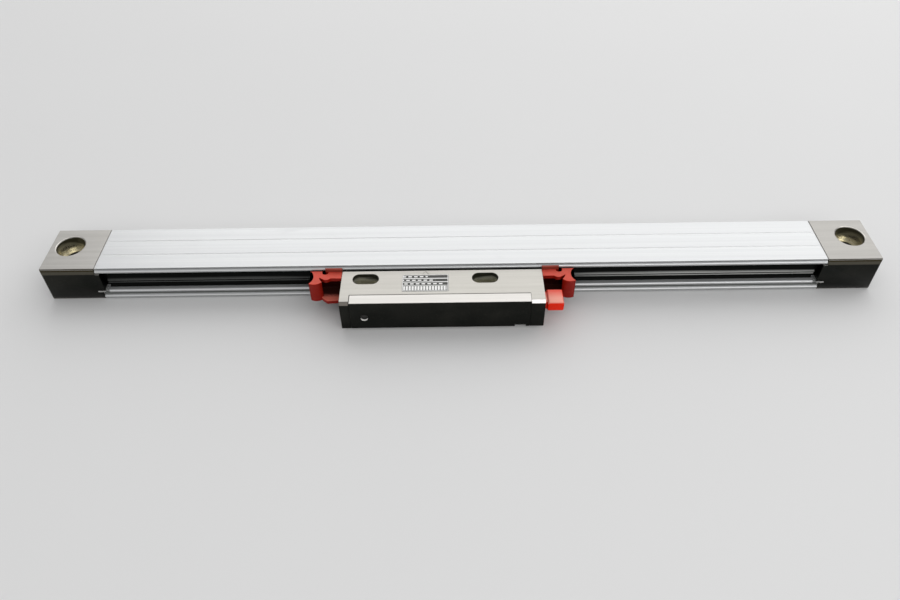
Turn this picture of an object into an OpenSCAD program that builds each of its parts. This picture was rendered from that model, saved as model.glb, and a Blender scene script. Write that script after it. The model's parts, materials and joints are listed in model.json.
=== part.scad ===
// Sealed slimline linear encoder: an aluminium extrusion holds a glass scale,
// a scanning carriage rolls along the glass, and a thin blade between two sealing
// lips joins it to the mounting block outside.
//
// X runs along the scale, -Y is the slot side, +Z is the side of the screw heads.
// The origin lies on the mounting face, midway between the two fixing holes.

/* [Housing] */
// Length over both end blocks
overall_l = 358; // [320:1:700]
// Thickness between the two flat faces
body_t = 18; // [17:0.5:24]
// Distance from the fixing-hole line to the back face
back_y = 11; // [10:0.5:16]
// Distance from the fixing-hole line to the edge of the top face
front_y = 14.4; // [13.5:0.1:18]
// Thickness of the top and bottom walls
wall_t = 2.2; // [1.4:0.1:2.6]
// Thickness of the back wall
back_wall_t = 2.8; // [2.6:0.1:3.4]
// Thickness of the two slot walls
front_wall_t = 3; // [2.6:0.1:3.2]
// Radius of the round beads along the front edges
bead_r = 0.85; // [0.5:0.05:1]
// Height of the slot's lower edge above the mounting face
slot_low_z = 5.7; // [5.2:0.1:6.4]
// Height of the slot's upper edge above the mounting face
slot_high_z = 15.3; // [14.6:0.1:15.6]
// Width of the fine grooves along the flat faces
groove_w = 0.6; // [0.3:0.1:1]
// Depth of the fine grooves
groove_d = 0.25; // [0.1:0.05:0.5]

/* [End blocks] */
// Length of each end block
end_l = 23; // [21:0.5:30]
// Distance from a fixing hole to the end of the scale
hole_inset = 8.5; // [8:0.5:11]
// Diameter of the fixing holes
hole_d = 6.6; // [5.5:0.1:7]
// Diameter of the counterbore for the screw head
counterbore_d = 12; // [11:0.5:13]
// Depth of the counterbore
counterbore_h = 7; // [5:0.5:10]
// Depth of the spigot that plugs into the extrusion
spigot_l = 8; // [6:0.5:12]
// Thickness of the seal between extrusion and end block
gasket_t = 0.4; // [0.3:0.1:0.8]
// Height of the chamfer along the front edges of an end block
end_chamfer = 2.1; // [0.8:0.1:2.1]
// Diameter of the air port in each end face
port_d = 4.2; // [3.2:0.1:4.6]

/* [Glass scale] */
// Width of the glass strip
glass_w = 11; // [10.5:0.1:11.4]
// Thickness of the glass strip
glass_t = 2.4; // [2:0.1:2.8]
// Thickness of the elastic bond round the clamped edge
bond_t = 0.3; // [0.2:0.05:0.4]
// Depth of the groove that holds the glass
glass_groove_d = 1.8; // [1.4:0.1:2]

/* [Scanning carriage] */
// Rest position of the carriage along the scale
carriage_x = -8.1; // [-40:0.1:40]
// Length of the scanning carriage
yoke_l = 68; // [62:1:72]
// Outer diameter of the miniature bearings
bearing_d = 5; // [4.6:0.1:5.2]
// Width of the miniature bearings
bearing_w = 2.5; // [2:0.1:2.6]
// Diameter of the bearing pins
pin_d = 2; // [1.6:0.1:2.2]
// Thickness of the blade between the sealing lips
blade_t = 0.6; // [0.4:0.05:0.8]

/* [Mounting block] */
// Length of the mounting block
block_l = 84.3; // [82:0.1:100]
// Depth of the mounting block
block_w = 18.6; // [18.2:0.1:24]
// Height of the mounting block
block_t = 15; // [14.5:0.1:15]
// Gap between the extrusion's bead and the mounting block
block_gap = 1.35; // [0.9:0.05:1.8]
// Distance between the two slotted holes
slot_pitch = 50; // [46:0.5:56]
// Overall length of each slotted hole
slot_l = 11; // [8:0.5:13]
// Width of each slotted hole
slot_w = 5.8; // [4.5:0.1:6.2]
// Offset of the slotted holes from the middle of the block
slot_shift = -7; // [-9:0.5:-5]
// Thickness of the angled cover
cover_t = 1.4; // [1:0.1:1.8]
// Width of the cover's top flange
cover_flange_w = 4.9; // [4:0.1:6]

/* [Shipping braces and cap] */
// Length that each brace stands out from the block
brace_l = 13.7; // [12.5:0.1:18]
// Height of the braces
brace_h = 10.2; // [8:0.2:10.8]
// Thickness of the arm and of the foot of a brace
brace_arm_t = 1.8; // [1.4:0.1:2.4]
// Length of the connector cap outside the block
cap_l = 7.9; // [6:0.1:12]

/* [Hidden] */

$fn = 48;
eps = 0.01;

// Clearances
seat = 0.05;           // between pieces that seat on each other
slide_gap = 0.35;      // between the extrusion and what slides past it
roll_gap = 0.04;       // between a bearing and the glass
run_gap = 0.04;        // running fit of a bearing

// Heights and planes shared by the pieces
mid_z = body_t / 2;
bead_y = -(front_y + bead_r);
bead_low_z = bead_r + 0.8;
bead_high_z = body_t - bead_low_z;
edge_groove_w = 0.5;   // line groove between a flat face and its bead
edge_step = 0.6;       // the same line on an end block
edge_ledge = 0.05;
ledge_r = 0.8;
cavity_low_z = wall_t;
cavity_high_z = body_t - wall_t;
cavity_front_y = -(front_y - front_wall_t);
cavity_back_y = back_y - back_wall_t;
corner_chamfer = 0.6;
face_grooves = [8.45 - front_y, back_y - 8.25];

housing_l = overall_l - 2 * (end_l + gasket_t);
hole_x = overall_l / 2 - hole_inset;
rim_break = 0.3;

// Countersunk screws from below, through extrusion and spigot
end_screw_d = 3;
end_screw_head_d = 5.6;
end_screw_head_h = 1.3;
end_screw_l = 6;
end_screw_sink = 0.1;
end_screw_ys = [-front_y / 2, back_y / 3];
hex_socket_d = 2.3;

// Air ports, closed by set screws
port_l = 7;
port_passage_d = 1.6;
port_y = -(counterbore_d / 2 + port_d / 2 + 1.6);
plug_l = 5;
plug_sink = 0.5;

// Ends of the slot
ledge_cut_l = 2.9;
tongue_l = 1.3;
clamp_l = 3.2;
clamp_t = 0.6;
clamp_top_z = slot_low_z - 0.4;
clamp_back_y = cavity_front_y - 1.9;

// Sealing lips
lip_t = 0.9;
lip_root_w = 1.1;
lip_root_d = 1.1;
lip_y = cavity_front_y - 1;
lip_bow = 0.8;
lip_lean = 0.5;
lip_taper = 0.4;
lip_gap = blade_t + 0.1;
lip_l = housing_l - 2 * ledge_cut_l;

// Glass and its groove
glass_l = housing_l - 2 * (spigot_l + 1);
glass_back_y = cavity_back_y + glass_groove_d - bond_t;
glass_front_y = glass_back_y - glass_w;
glass_top_z = mid_z + glass_t / 2;
glass_low_z = mid_z - glass_t / 2;

// Carriage, in its own x measured from carriage_x
spine_t = 2.3;
spine_y = glass_front_y - roll_gap - bearing_d - 0.45;
shelf_t = 1.8;
shelf_z = cavity_low_z + 1;
shelf_top_z = shelf_z + shelf_t;
bridge_z = glass_top_z + 0.7;
bridge_top_z = cavity_high_z - 0.9;
face_axis_z = glass_top_z + roll_gap + bearing_d / 2;
edge_axis_y = glass_front_y - roll_gap - bearing_d / 2;
track_y = cavity_back_y - 2.3;
inner_track_y = glass_front_y + 2.4;
bearing_end_x = yoke_l / 2 - 8;
bearing_mid_x = yoke_l / 4;
edge_inset = 12;
edge_x = yoke_l / 2 - edge_inset;
// Each face bearing: [x along the carriage, y of its middle]
face_bearings = [
    [-bearing_end_x, track_y],
    [bearing_end_x, track_y],
    [bearing_mid_x, inner_track_y]
];
edge_bearings = [-edge_x, edge_x];
race_d = 2.7;
optic_y = glass_front_y + glass_w * 0.32;
lens_d = 5;
lens_h = 1.4;
lamp_d = 3;
reticle_t = 0.6;
reticle_l = 26;
reticle_w = 6;
board_t = 0.8;
board_w = 7.2;
board_inset = 2;
sensor_l = 12;
sensor_w = 4.4;
sensor_t = 0.5;

// Blade and coupling
blade_l = 44;
blade_point_l = 8;
blade_foot_l = blade_l - 2 * blade_point_l - 2;
blade_foot_d = 3.8;
bracket_t = 1;
bracket_y = spine_y - spine_t - 0.5;
spring_z = cavity_high_z - 1.9;
wire_d = 0.6;
eye_d = 2;
eye_pin_d = eye_d - 2 * wire_d - 0.1;
eye_pin_l = 0.45;
spring_span = yoke_l / 2;
spring_start_x = carriage_x + slot_shift - blade_l / 4 + 2;

// Mounting block
block_back_y = bead_y - block_gap;
block_front_y = block_back_y - block_w;
block_low_z = (body_t - block_t) / 2;
block_top_z = block_low_z + block_t;
slots_x = carriage_x + slot_shift;
slots_y = block_back_y - 4.6;
end_wall_left = 3.9;
end_wall_right = 5.8;
block_left_x = carriage_x - block_l / 2;
block_right_x = carriage_x + block_l / 2;
cover_left_x = block_left_x + end_wall_left;
cover_right_x = block_right_x - end_wall_right;
block_chamfer = 1.2;
pocket_back_y = slots_y - slot_w / 2 - 1.4;
pocket_low_z = block_low_z + 1.7;
pocket_top_z = block_top_z - cover_t - 0.2;
pocket_left_wall = 10.5;
pocket_right_wall = 2;
pocket_left_x = cover_left_x + pocket_left_wall;
pocket_right_x = cover_right_x - pocket_right_wall;
cover_gasket_t = 0.3;
cover_back_y = block_front_y + cover_t;
screw_x = cover_left_x + 5.9;
screw_z = mid_z - 1.2;
screw_head_d = 3.2;
screw_core_d = 2;
screw_l = 5.5;
notch_l = 4.6;
notch_h = 1.5;
notch_x = cover_right_x - 6.2;
board_y = cover_back_y + 2.4;
interface_t = 1;
board_gap_z = 0.5;
board_left_gap = 0.6;
board_right_gap = 1.8;
board_left_x = pocket_left_x + board_left_gap;
board_right_x = pocket_right_x - board_right_gap;
chip_l = 7;
chip_w = 6;
chip_t = 1.2;
chip_pitch = 16;
chip_start = 10;
first_chip_x = pocket_left_x + chip_start;
spacer_d = 2.6;
spacer_left = 4;
spacer_right = 6;
label_l = 19.1;
label_w = 9.4;
label_t = 0.2;
label_y = block_back_y - 2.6 - label_w / 2;

// Connector
socket_w = 7.2;
socket_h = 5;
socket_wall = 0.7;
socket_l = 7;
socket_stand = 0.45;
socket_y = cover_back_y + cover_gasket_t + socket_stand + socket_w / 2;
socket_z = mid_z + 2.1;
pin_rows = 2;
pins_per_row = 6;
pin_pitch = 0.85;
row_pitch = 1.6;
contact_d = 0.4;
function pin_offset_y(i) = (i - (pins_per_row - 1) / 2) * pin_pitch;
function pin_offset_z(row) = (row - (pin_rows - 1) / 2) * row_pitch;

// Braces
brace_top_z = block_top_z - 0.5;
brace_low_z = brace_top_z - brace_h;
brace_back_y = bead_y - slide_gap;
brace_tab_z = body_t - 0.2;
brace_wall_t = 1.2;
peg_d = 2;
peg_l = 3;
peg_gap = 0.05;
peg_y = brace_back_y - 3.2;
peg_zs = [brace_low_z + 2.4, brace_top_z - 2.4];

// Extrudes a profile drawn in (y, z) along x, centred on x = 0.
module along_x(length) {
    rotate([90, 0, 90])
        translate([0, 0, -length / 2])
            linear_extrude(height = length)
                children();
}

// Cylinder along x, starting at x = 0.
module rod_x(d, length) {
    rotate([0, 90, 0])
        cylinder(d = d, h = length);
}

// Cylinder along y, starting at y = 0.
module rod_y(d, length) {
    rotate([-90, 0, 0])
        cylinder(d = d, h = length);
}

// Box from its lowest to its highest corner.
module block_between(low, high) {
    translate(low)
        cube(high - low);
}

// Rectangle with true round corners, centred on the origin.
module round_rect(w, h, r) {
    square([w - 2 * r, h], center = true);
    square([w, h - 2 * r], center = true);
    for (sx = [-1, 1], sy = [-1, 1])
        translate([sx * (w / 2 - r), sy * (h / 2 - r)])
            circle(r = r);
}

// Repeats a piece at the left end, mirrored.
module both_ends() {
    children();
    mirror([1, 0, 0])
        children();
}

// ---- Housing ----------------------------------------------------------

// Rectangle from the back face to the edge of the flat faces.
module body_outline() {
    c = corner_chamfer;
    polygon([
        [-front_y, 0], [back_y - c, 0], [back_y, c],
        [back_y, body_t - c], [back_y - c, body_t], [-front_y, body_t]
    ]);
}

// One fine V-groove in a flat face, at height z, opening towards side.
module face_groove(y, z, side) {
    polygon([
        [y - groove_w / 2, z + side * eps], [y, z - side * groove_d],
        [y + groove_w / 2, z + side * eps]
    ]);
}

// Section of the extrusion.
module housing_section() {
    root_y = lip_y - lip_root_w / 2 - seat;
    root_w = lip_root_w + 2 * seat;
    difference() {
        union() {
            body_outline();
            for (z = [bead_low_z, bead_high_z])
                translate([-front_y, z])
                    circle(r = bead_r);
            translate([-front_y, slot_low_z - ledge_r])
                circle(r = ledge_r);
        }
        // Inside
        translate([cavity_front_y, cavity_low_z])
            square([cavity_back_y - cavity_front_y, cavity_high_z - cavity_low_z]);
        // Slot for the blade
        translate([-front_y - bead_r - 1, slot_low_z])
            square([front_wall_t + bead_r + 2, slot_high_z - slot_low_z]);
        // Grooves that hold the roots of the two lips
        translate([root_y, slot_high_z - eps])
            square([root_w, lip_root_d + seat + eps]);
        translate([root_y, slot_low_z - lip_root_d - seat])
            square([root_w, lip_root_d + seat + eps]);
        // Groove for the glass and its bond
        translate([cavity_back_y - eps, glass_low_z - bond_t])
            square([glass_groove_d + eps, glass_t + 2 * bond_t]);
        // Line groove between the flat faces and the beads
        for (z = [edge_groove_w, body_t - edge_groove_w])
            translate([-front_y - eps, z - edge_groove_w / 2])
                square([edge_groove_w, edge_groove_w]);
        // Fine grooves along both flat faces
        for (y = face_grooves) {
            face_groove(y, body_t, 1);
            face_groove(y, 0, -1);
        }
    }
}

module scale_housing() {
    color("gainsboro")
        difference() {
            along_x(housing_l)
                housing_section();
            both_ends() {
                // The ledge stops short of the end block
                block_between(
                    [housing_l / 2 - ledge_cut_l, -front_y - ledge_r - 1, clamp_top_z - clamp_t],
                    [housing_l / 2 + 1, clamp_back_y, slot_low_z + eps]
                );
                block_between(
                    [housing_l / 2 - ledge_cut_l, -front_y - ledge_r - 1, slot_low_z - 2 * ledge_r - eps],
                    [housing_l / 2 + 1, -front_y, slot_low_z]
                );
                end_screw_holes(countersunk = true);
            }
        }
}

// ---- End blocks -------------------------------------------------------

// Places its children on the axes of one end's countersunk screws.
module at_end_screws() {
    for (y = end_screw_ys)
        translate([overall_l / 2 - end_l - spigot_l / 2, y, 0])
            children();
}

module end_screw_holes(countersunk) {
    at_end_screws() {
        translate([0, 0, -eps])
            cylinder(d = end_screw_d + 2 * seat, h = end_screw_l + end_screw_sink + 0.3);
        if (countersunk)
            translate([0, 0, -eps])
                cylinder(
                    d1 = end_screw_head_d + 0.5,
                    d2 = end_screw_d + 2 * seat,
                    h = end_screw_head_h + 2 * end_screw_sink
                );
    }
}

// Outline of an end block in (y, z): its front face is level with the bead, and a
// step and a steep chamfer lead down to it from the top face.
module end_outline() {
    high_z = body_t - edge_step;
    low_z = edge_step;
    polygon([
        [back_y - corner_chamfer, 0], [back_y, corner_chamfer],
        [back_y, body_t - corner_chamfer], [back_y - corner_chamfer, body_t],
        [-front_y, body_t], [-front_y, high_z],
        [-front_y - edge_ledge, high_z], [bead_y, high_z - end_chamfer],
        [bead_y, low_z + end_chamfer], [-front_y - edge_ledge, low_z],
        [-front_y, low_z], [-front_y, 0]
    ]);
}

// Wedge that breaks the vertical corner between the front and the end face.
module end_corner_cut() {
    c = bead_r - edge_ledge;
    translate([overall_l / 2, bead_y, edge_step])
        linear_extrude(height = body_t - 2 * edge_step)
            polygon([[-c - 1, -1], [1, -1], [1, c + 1]]);
}

module end_block() {
    inner_x = overall_l / 2 - end_l;
    gap = 0.15;
    difference() {
        union() {
            translate([overall_l / 2 - end_l / 2, 0, 0])
                along_x(end_l)
                    end_outline();
            // Spigot inside the extrusion
            block_between(
                [inner_x - spigot_l, cavity_front_y + gap, cavity_low_z + gap],
                [inner_x + eps, cavity_back_y - gap, cavity_high_z - gap]
            );
            // Tongue that closes the end of the slot
            block_between(
                [inner_x - gasket_t - tongue_l, bead_y, slot_low_z + gap],
                [inner_x + eps, cavity_front_y + gap + eps, slot_high_z - gap]
            );
        }
        end_corner_cut();
        // Counterbored fixing hole, its rim broken
        translate([hole_x, 0, -eps])
            cylinder(d = hole_d, h = body_t + 1);
        translate([hole_x, 0, body_t - counterbore_h])
            cylinder(d = counterbore_d, h = counterbore_h + 1);
        translate([hole_x, 0, body_t - rim_break])
            cylinder(d1 = counterbore_d, d2 = counterbore_d + 2 * rim_break, h = rim_break + eps);
        // Air port and its passage to the inside
        translate([overall_l / 2 - port_l, port_y, mid_z])
            rod_x(port_d, port_l + 1);
        translate([inner_x - spigot_l - 1, port_y, mid_z])
            rod_x(port_passage_d, end_l + spigot_l);
        // Seat of the lip clamp's tab
        block_between(
            [inner_x - eps, bead_y - 1, clamp_top_z - clamp_t - seat],
            [inner_x + clamp_l / 2 + seat, clamp_back_y, clamp_top_z + seat]
        );
        end_screw_holes(countersunk = false);
    }
}

module end_block_right() {
    color("silver")
        end_block();
}

module end_block_left() {
    color("silver")
        mirror([1, 0, 0])
            end_block();
}

// Seals between the extrusion and the end blocks, open at the slot.
module end_gaskets() {
    inset = 0.25;
    color("dimgray")
        both_ends()
            translate([housing_l / 2 + gasket_t / 2, 0, 0])
                difference() {
                    along_x(gasket_t)
                        difference() {
                            translate([-front_y + inset, inset])
                                square([front_y + back_y - 2 * inset, body_t - 2 * inset]);
                            translate([cavity_front_y, cavity_low_z])
                                square([cavity_back_y - cavity_front_y, cavity_high_z - cavity_low_z]);
                            translate([-front_y - 1, clamp_top_z - clamp_t - seat])
                                square([front_wall_t + 1 + eps, slot_high_z - clamp_top_z + clamp_t + seat]);
                        }
                }
}

module end_block_screws() {
    color("dimgray")
        both_ends()
            at_end_screws()
                translate([0, 0, end_screw_sink])
                    difference() {
                        union() {
                            cylinder(d1 = end_screw_head_d, d2 = end_screw_d, h = end_screw_head_h);
                            cylinder(d = end_screw_d, h = end_screw_l);
                        }
                        translate([0, 0, -eps])
                            cylinder(d = hex_socket_d, h = 0.9, $fn = 6);
                    }
}

module air_port_plugs() {
    socket_depth = 2;
    color("dimgray")
        both_ends()
            translate([overall_l / 2 - plug_l - plug_sink, port_y, mid_z])
                difference() {
                    rod_x(port_d - 2 * seat, plug_l);
                    translate([plug_l - socket_depth, 0, 0])
                        rotate([0, 90, 0])
                            cylinder(d = hex_socket_d, h = socket_depth + 1, $fn = 6);
                }
}

// ---- Glass scale and seals --------------------------------------------

module glass_scale() {
    color("lightsteelblue")
        along_x(glass_l)
            translate([glass_front_y, glass_low_z])
                square([glass_w, glass_t]);
}

// Elastic bond, U-shaped round the clamped edge of the glass.
module scale_bond() {
    color("darkslategray")
        along_x(glass_l)
            difference() {
                translate([cavity_back_y, glass_low_z - bond_t])
                    square([glass_groove_d, glass_t + 2 * bond_t]);
                translate([cavity_back_y - 1, glass_low_z])
                    square([glass_back_y - cavity_back_y + 1, glass_t]);
            }
}

// Section of a sealing lip that grows from root_z against side: a root that sits in
// the groove of the extrusion, and a bowed strip that thins to a round tip.
module lip_section(root_z, tip_z, side) {
    steps = 12;
    tip_r = lip_t / 2 * (1 - lip_taper);
    neck_z = tip_z + side * tip_r;
    function bow(t) = lip_bow * sin(180 * t) - lip_lean * t * t;
    function half(t) = lip_t / 2 * (1 - lip_taper * t);
    function at(t, s) = [lip_y + bow(t) + s * half(t), root_z + (neck_z - root_z) * t];
    polygon(concat(
        [[lip_y + lip_root_w / 2, root_z], [lip_y + lip_root_w / 2, root_z + side * lip_root_d]],
        [[lip_y - lip_root_w / 2, root_z + side * lip_root_d], [lip_y - lip_root_w / 2, root_z]],
        [for (i = [0 : steps]) at(i / steps, -1)],
        [for (a = [15 : 15 : 165]) [lip_y + bow(1) - tip_r * cos(a), neck_z - side * tip_r * sin(a)]],
        [for (i = [steps : -1 : 0]) at(i / steps, 1)]
    ));
}

module upper_sealing_lip() {
    color([0.09, 0.09, 0.1])
        along_x(lip_l)
            lip_section(slot_high_z, mid_z + lip_gap / 2, 1);
}

module lower_sealing_lip() {
    color([0.09, 0.09, 0.1])
        along_x(lip_l)
            lip_section(slot_low_z, mid_z - lip_gap / 2, -1);
}

// Bright clips at the slot's ends, on the cut-back ledge.
module lip_clamps() {
    color("silver")
        both_ends()
            block_between(
                [overall_l / 2 - end_l - clamp_l / 2, bead_y + 0.1, clamp_top_z - clamp_t],
                [overall_l / 2 - end_l + clamp_l / 2, clamp_back_y - seat, clamp_top_z]
            );
}

// ---- Scanning carriage ------------------------------------------------

// One arm from the spine to a face bearing, with a round end.
module face_arm(pos) {
    arm_w = 5;
    end_y = pos[1] - bearing_w / 2 - 0.35;
    translate([pos[0] - arm_w / 2, spine_y - eps, bridge_z])
        cube([arm_w, end_y - spine_y - 1 + eps, bridge_top_z - bridge_z]);
    translate([pos[0], end_y - 1 - eps, face_axis_z])
        rod_y(bridge_top_z - bridge_z - 0.2, 1 + eps);
}

module scanning_yoke() {
    optic_w = 20;
    color("slategray")
        translate([carriage_x, 0, 0])
            difference() {
                union() {
                    // Spine along the slot side
                    block_between(
                        [-yoke_l / 2, spine_y - spine_t, shelf_z],
                        [yoke_l / 2, spine_y, bridge_top_z]
                    );
                    // Shelf below the glass
                    block_between(
                        [-yoke_l / 2 + 3, spine_y - eps, shelf_z],
                        [yoke_l / 2 - 3, cavity_back_y - 1.5, shelf_top_z]
                    );
                    // Bridge over the glass for the light source
                    block_between(
                        [-optic_w / 2, spine_y - eps, bridge_z],
                        [optic_w / 2, optic_y + lens_d / 2 + 1.2, bridge_top_z]
                    );
                    // Ribs that carry the reticle
                    for (s = [-1, 1])
                        translate([s * (reticle_l / 2 - 0.8), optic_y, shelf_top_z])
                            translate([-0.8, -3, -eps])
                                cube([1.6, 6, glass_low_z - 0.4 - reticle_t - shelf_top_z + eps]);
                    for (pos = face_bearings)
                        face_arm(pos);
                    // Pin for the far eye of the coupling spring
                    translate([
                        spring_start_x + spring_span - carriage_x,
                        spine_y - spine_t - eye_pin_l,
                        spring_z
                    ])
                        rod_y(eye_pin_d, eye_pin_l + eps);
                    // Posts of the edge bearings
                    for (x = edge_bearings)
                        translate([x, edge_axis_y, shelf_top_z - eps])
                            cylinder(d = pin_d + 2, h = mid_z - bearing_w / 2 - 0.3 - shelf_top_z + eps);
                }
                // Light shaft
                translate([0, optic_y, bridge_z - eps])
                    cylinder(d = lens_d + 2 * seat, h = lens_h + 0.3);
                translate([0, optic_y, bridge_z])
                    cylinder(d = lamp_d + 2 * seat, h = bridge_top_z - bridge_z + 1);
                // Holes for the bearing pins
                for (pos = face_bearings)
                    translate([pos[0], spine_y - eps, face_axis_z])
                        rod_y(pin_d, pos[1] - spine_y);
                for (x = edge_bearings)
                    translate([x, edge_axis_y, shelf_z - eps])
                        cylinder(d = pin_d, h = mid_z - shelf_z);
                // Windows that lighten the spine
                for (s = [-1, 1])
                    translate([s * yoke_l / 5 - 5, spine_y - spine_t - 1, shelf_top_z + 0.5])
                        cube([10, spine_t + 2, bridge_z - shelf_top_z - 1.5]);
            }
}

// Pins of the five bearings, with flat retaining heads.
module bearing_pins() {
    head_t = 0.4;
    color("silver")
        translate([carriage_x, 0, 0]) {
            for (pos = face_bearings)
                translate([pos[0], spine_y, face_axis_z]) {
                    reach = pos[1] + bearing_w / 2 + 0.1 - spine_y;
                    rod_y(pin_d, reach + head_t);
                    translate([0, reach, 0])
                        rod_y(pin_d + 1, head_t);
                }
            for (x = edge_bearings)
                translate([x, edge_axis_y, shelf_z]) {
                    reach = mid_z + bearing_w / 2 + 0.1 - shelf_z;
                    cylinder(d = pin_d, h = reach + head_t);
                    translate([0, 0, reach])
                        cylinder(d = pin_d + 1, h = head_t);
                }
        }
}

// Flat ring along z, centred on the origin.
module ring(outer_d, inner_d, w) {
    difference() {
        cylinder(d = outer_d, h = w, center = true);
        cylinder(d = inner_d, h = w + 1, center = true);
    }
}

// Outer ring with chamfered rims and a shallow shield step.
module outer_ring() {
    rim = 0.25;
    difference() {
        intersection() {
            cylinder(d = bearing_d, h = bearing_w, center = true);
            union() {
                cylinder(d = bearing_d - 2 * rim, h = bearing_w + 1, center = true);
                cylinder(d = bearing_d, h = bearing_w - 2 * rim, center = true);
            }
        }
        cylinder(d = race_d + 2 * run_gap, h = bearing_w + 1, center = true);
        for (s = [-1, 1])
            translate([0, 0, s * bearing_w / 2])
                cylinder(d = race_d + 1, h = 0.3, center = true);
    }
}

module face_ring_at(index) {
    pos = face_bearings[index];
    translate([carriage_x + pos[0], pos[1], face_axis_z])
        rotate([90, 0, 0])
            children();
}

module edge_ring_at(index) {
    translate([carriage_x + edge_bearings[index], edge_axis_y, mid_z])
        children();
}

module bearing_inner_rings() {
    color("lightgray") {
        for (i = [0 : 2])
            face_ring_at(i)
                ring(race_d, pin_d, bearing_w - 0.1);
        for (i = [0 : 1])
            edge_ring_at(i)
                ring(race_d, pin_d, bearing_w - 0.1);
    }
}

module face_bearing_left() {
    color("lightgray") face_ring_at(0) outer_ring();
}

module face_bearing_right() {
    color("lightgray") face_ring_at(1) outer_ring();
}

module face_bearing_middle() {
    color("lightgray") face_ring_at(2) outer_ring();
}

module edge_bearing_left() {
    color("lightgray") edge_ring_at(0) outer_ring();
}

module edge_bearing_right() {
    color("lightgray") edge_ring_at(1) outer_ring();
}

// Lamp with a flange on top of the bridge.
module light_source() {
    color("gold")
        translate([carriage_x, optic_y, 0]) {
            translate([0, 0, bridge_z + lens_h + 0.3])
                cylinder(d = lamp_d, h = bridge_top_z - bridge_z - lens_h - 0.3 + eps);
            translate([0, 0, bridge_top_z])
                cylinder(d = lamp_d + 1.4, h = 0.5);
        }
}

// Plano-convex lens, its flat side towards the glass.
module condenser_lens() {
    dome_r = 4.2;
    color("lightblue")
        translate([carriage_x, optic_y, bridge_z + 0.1])
            intersection() {
                cylinder(d = lens_d, h = lens_h);
                translate([0, 0, lens_h - dome_r])
                    sphere(r = dome_r, $fn = 64);
            }
}

module scanning_reticle() {
    color("lightblue")
        translate([carriage_x - reticle_l / 2, optic_y - reticle_w / 2, glass_low_z - 0.4 - reticle_t])
            cube([reticle_l, reticle_w, reticle_t]);
}

module sensor_board() {
    color("seagreen")
        translate([carriage_x - reticle_l / 2 + board_inset, optic_y - board_w / 2, shelf_top_z])
            cube([reticle_l - 2 * board_inset, board_w, board_t]);
}

module photo_sensor() {
    color([0.15, 0.15, 0.17])
        translate([carriage_x - sensor_l / 2, optic_y - sensor_w / 2, shelf_top_z + board_t])
            cube([sensor_l, sensor_w, sensor_t]);
}

// ---- Coupling and blade -----------------------------------------------

// Strip that joins the blade to the spring, with a spring pin at one end.
module coupling_bracket() {
    bar_l = blade_l / 2;
    color("silver")
        translate([slots_x, 0, 0]) {
            difference() {
                union() {
                    block_between(
                        [-bar_l / 2, bracket_y - bracket_t, mid_z - 2.5],
                        [bar_l / 2, bracket_y, mid_z + 2.5]
                    );
                    block_between(
                        [-bar_l / 2, bracket_y - bracket_t, mid_z],
                        [-bar_l / 2 + 4, bracket_y, spring_z + 1]
                    );
                }
                block_between(
                    [-bar_l / 2 - 1, bracket_y - bracket_t - 1, mid_z - blade_t / 2],
                    [bar_l / 2 + 1, bracket_y - bracket_t / 2, mid_z + blade_t / 2]
                );
            }
            translate([-bar_l / 2 + 2, bracket_y - eps, spring_z])
                rod_y(eye_pin_d, eye_pin_l);
        }
}

// Wire spring with an eye at each end, lying between bracket and spine.
module coupling_spring() {
    y = (bracket_y + spine_y - spine_t) / 2;
    thin = 0.4;
    color("goldenrod") {
        for (x = [spring_start_x, spring_start_x + spring_span])
            translate([x, y, spring_z])
                rotate([90, 0, 0])
                    ring(eye_d, eye_d - 2 * wire_d, thin);
        translate([spring_start_x + eye_d / 2 - 0.1, y - thin / 2, spring_z - wire_d / 2])
            cube([spring_span - eye_d + 0.2, thin, wire_d]);
    }
}

// Blade with knife-edged ends, and a narrower foot in the mounting block.
module coupling_blade() {
    half_l = blade_l / 2;
    body_l = half_l - blade_point_l;
    inner_y = bracket_y - bracket_t / 2 - seat;
    outer_y = block_back_y + seat;
    color("lightgray")
        translate([slots_x, 0, mid_z]) {
            translate([0, inner_y, 0])
                rotate([90, 0, 0])
                    linear_extrude(height = inner_y - outer_y)
                        polygon([
                            [-half_l, 0], [-body_l, -blade_t / 2], [body_l, -blade_t / 2],
                            [half_l, 0], [body_l, blade_t / 2], [-body_l, blade_t / 2]
                        ]);
            translate([-blade_foot_l / 2, block_back_y - blade_foot_d, -blade_t / 2])
                cube([blade_foot_l, blade_foot_d + seat + eps, blade_t]);
        }
}

// ---- Mounting block ---------------------------------------------------

// One slotted hole, standing on the origin.
module slot_hole(h) {
    linear_extrude(height = h) {
        square([slot_l - slot_w, slot_w], center = true);
        for (s = [-1, 1])
            translate([s * (slot_l - slot_w) / 2, 0])
                circle(d = slot_w);
    }
}

module at_slots() {
    for (s = [-1, 1])
        translate([slots_x + s * slot_pitch / 2, slots_y, 0])
            children();
}

// Wedge that bevels the block's front top edge between two x values.
module front_bevel(x0, x1) {
    c = block_chamfer;
    translate([(x0 + x1) / 2, 0, 0])
        along_x(x1 - x0)
            polygon([
                [block_front_y - 1, block_top_z + 1], [block_front_y - 1, block_top_z - c - 1],
                [block_front_y + c + 1, block_top_z + 1]
            ]);
}

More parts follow.
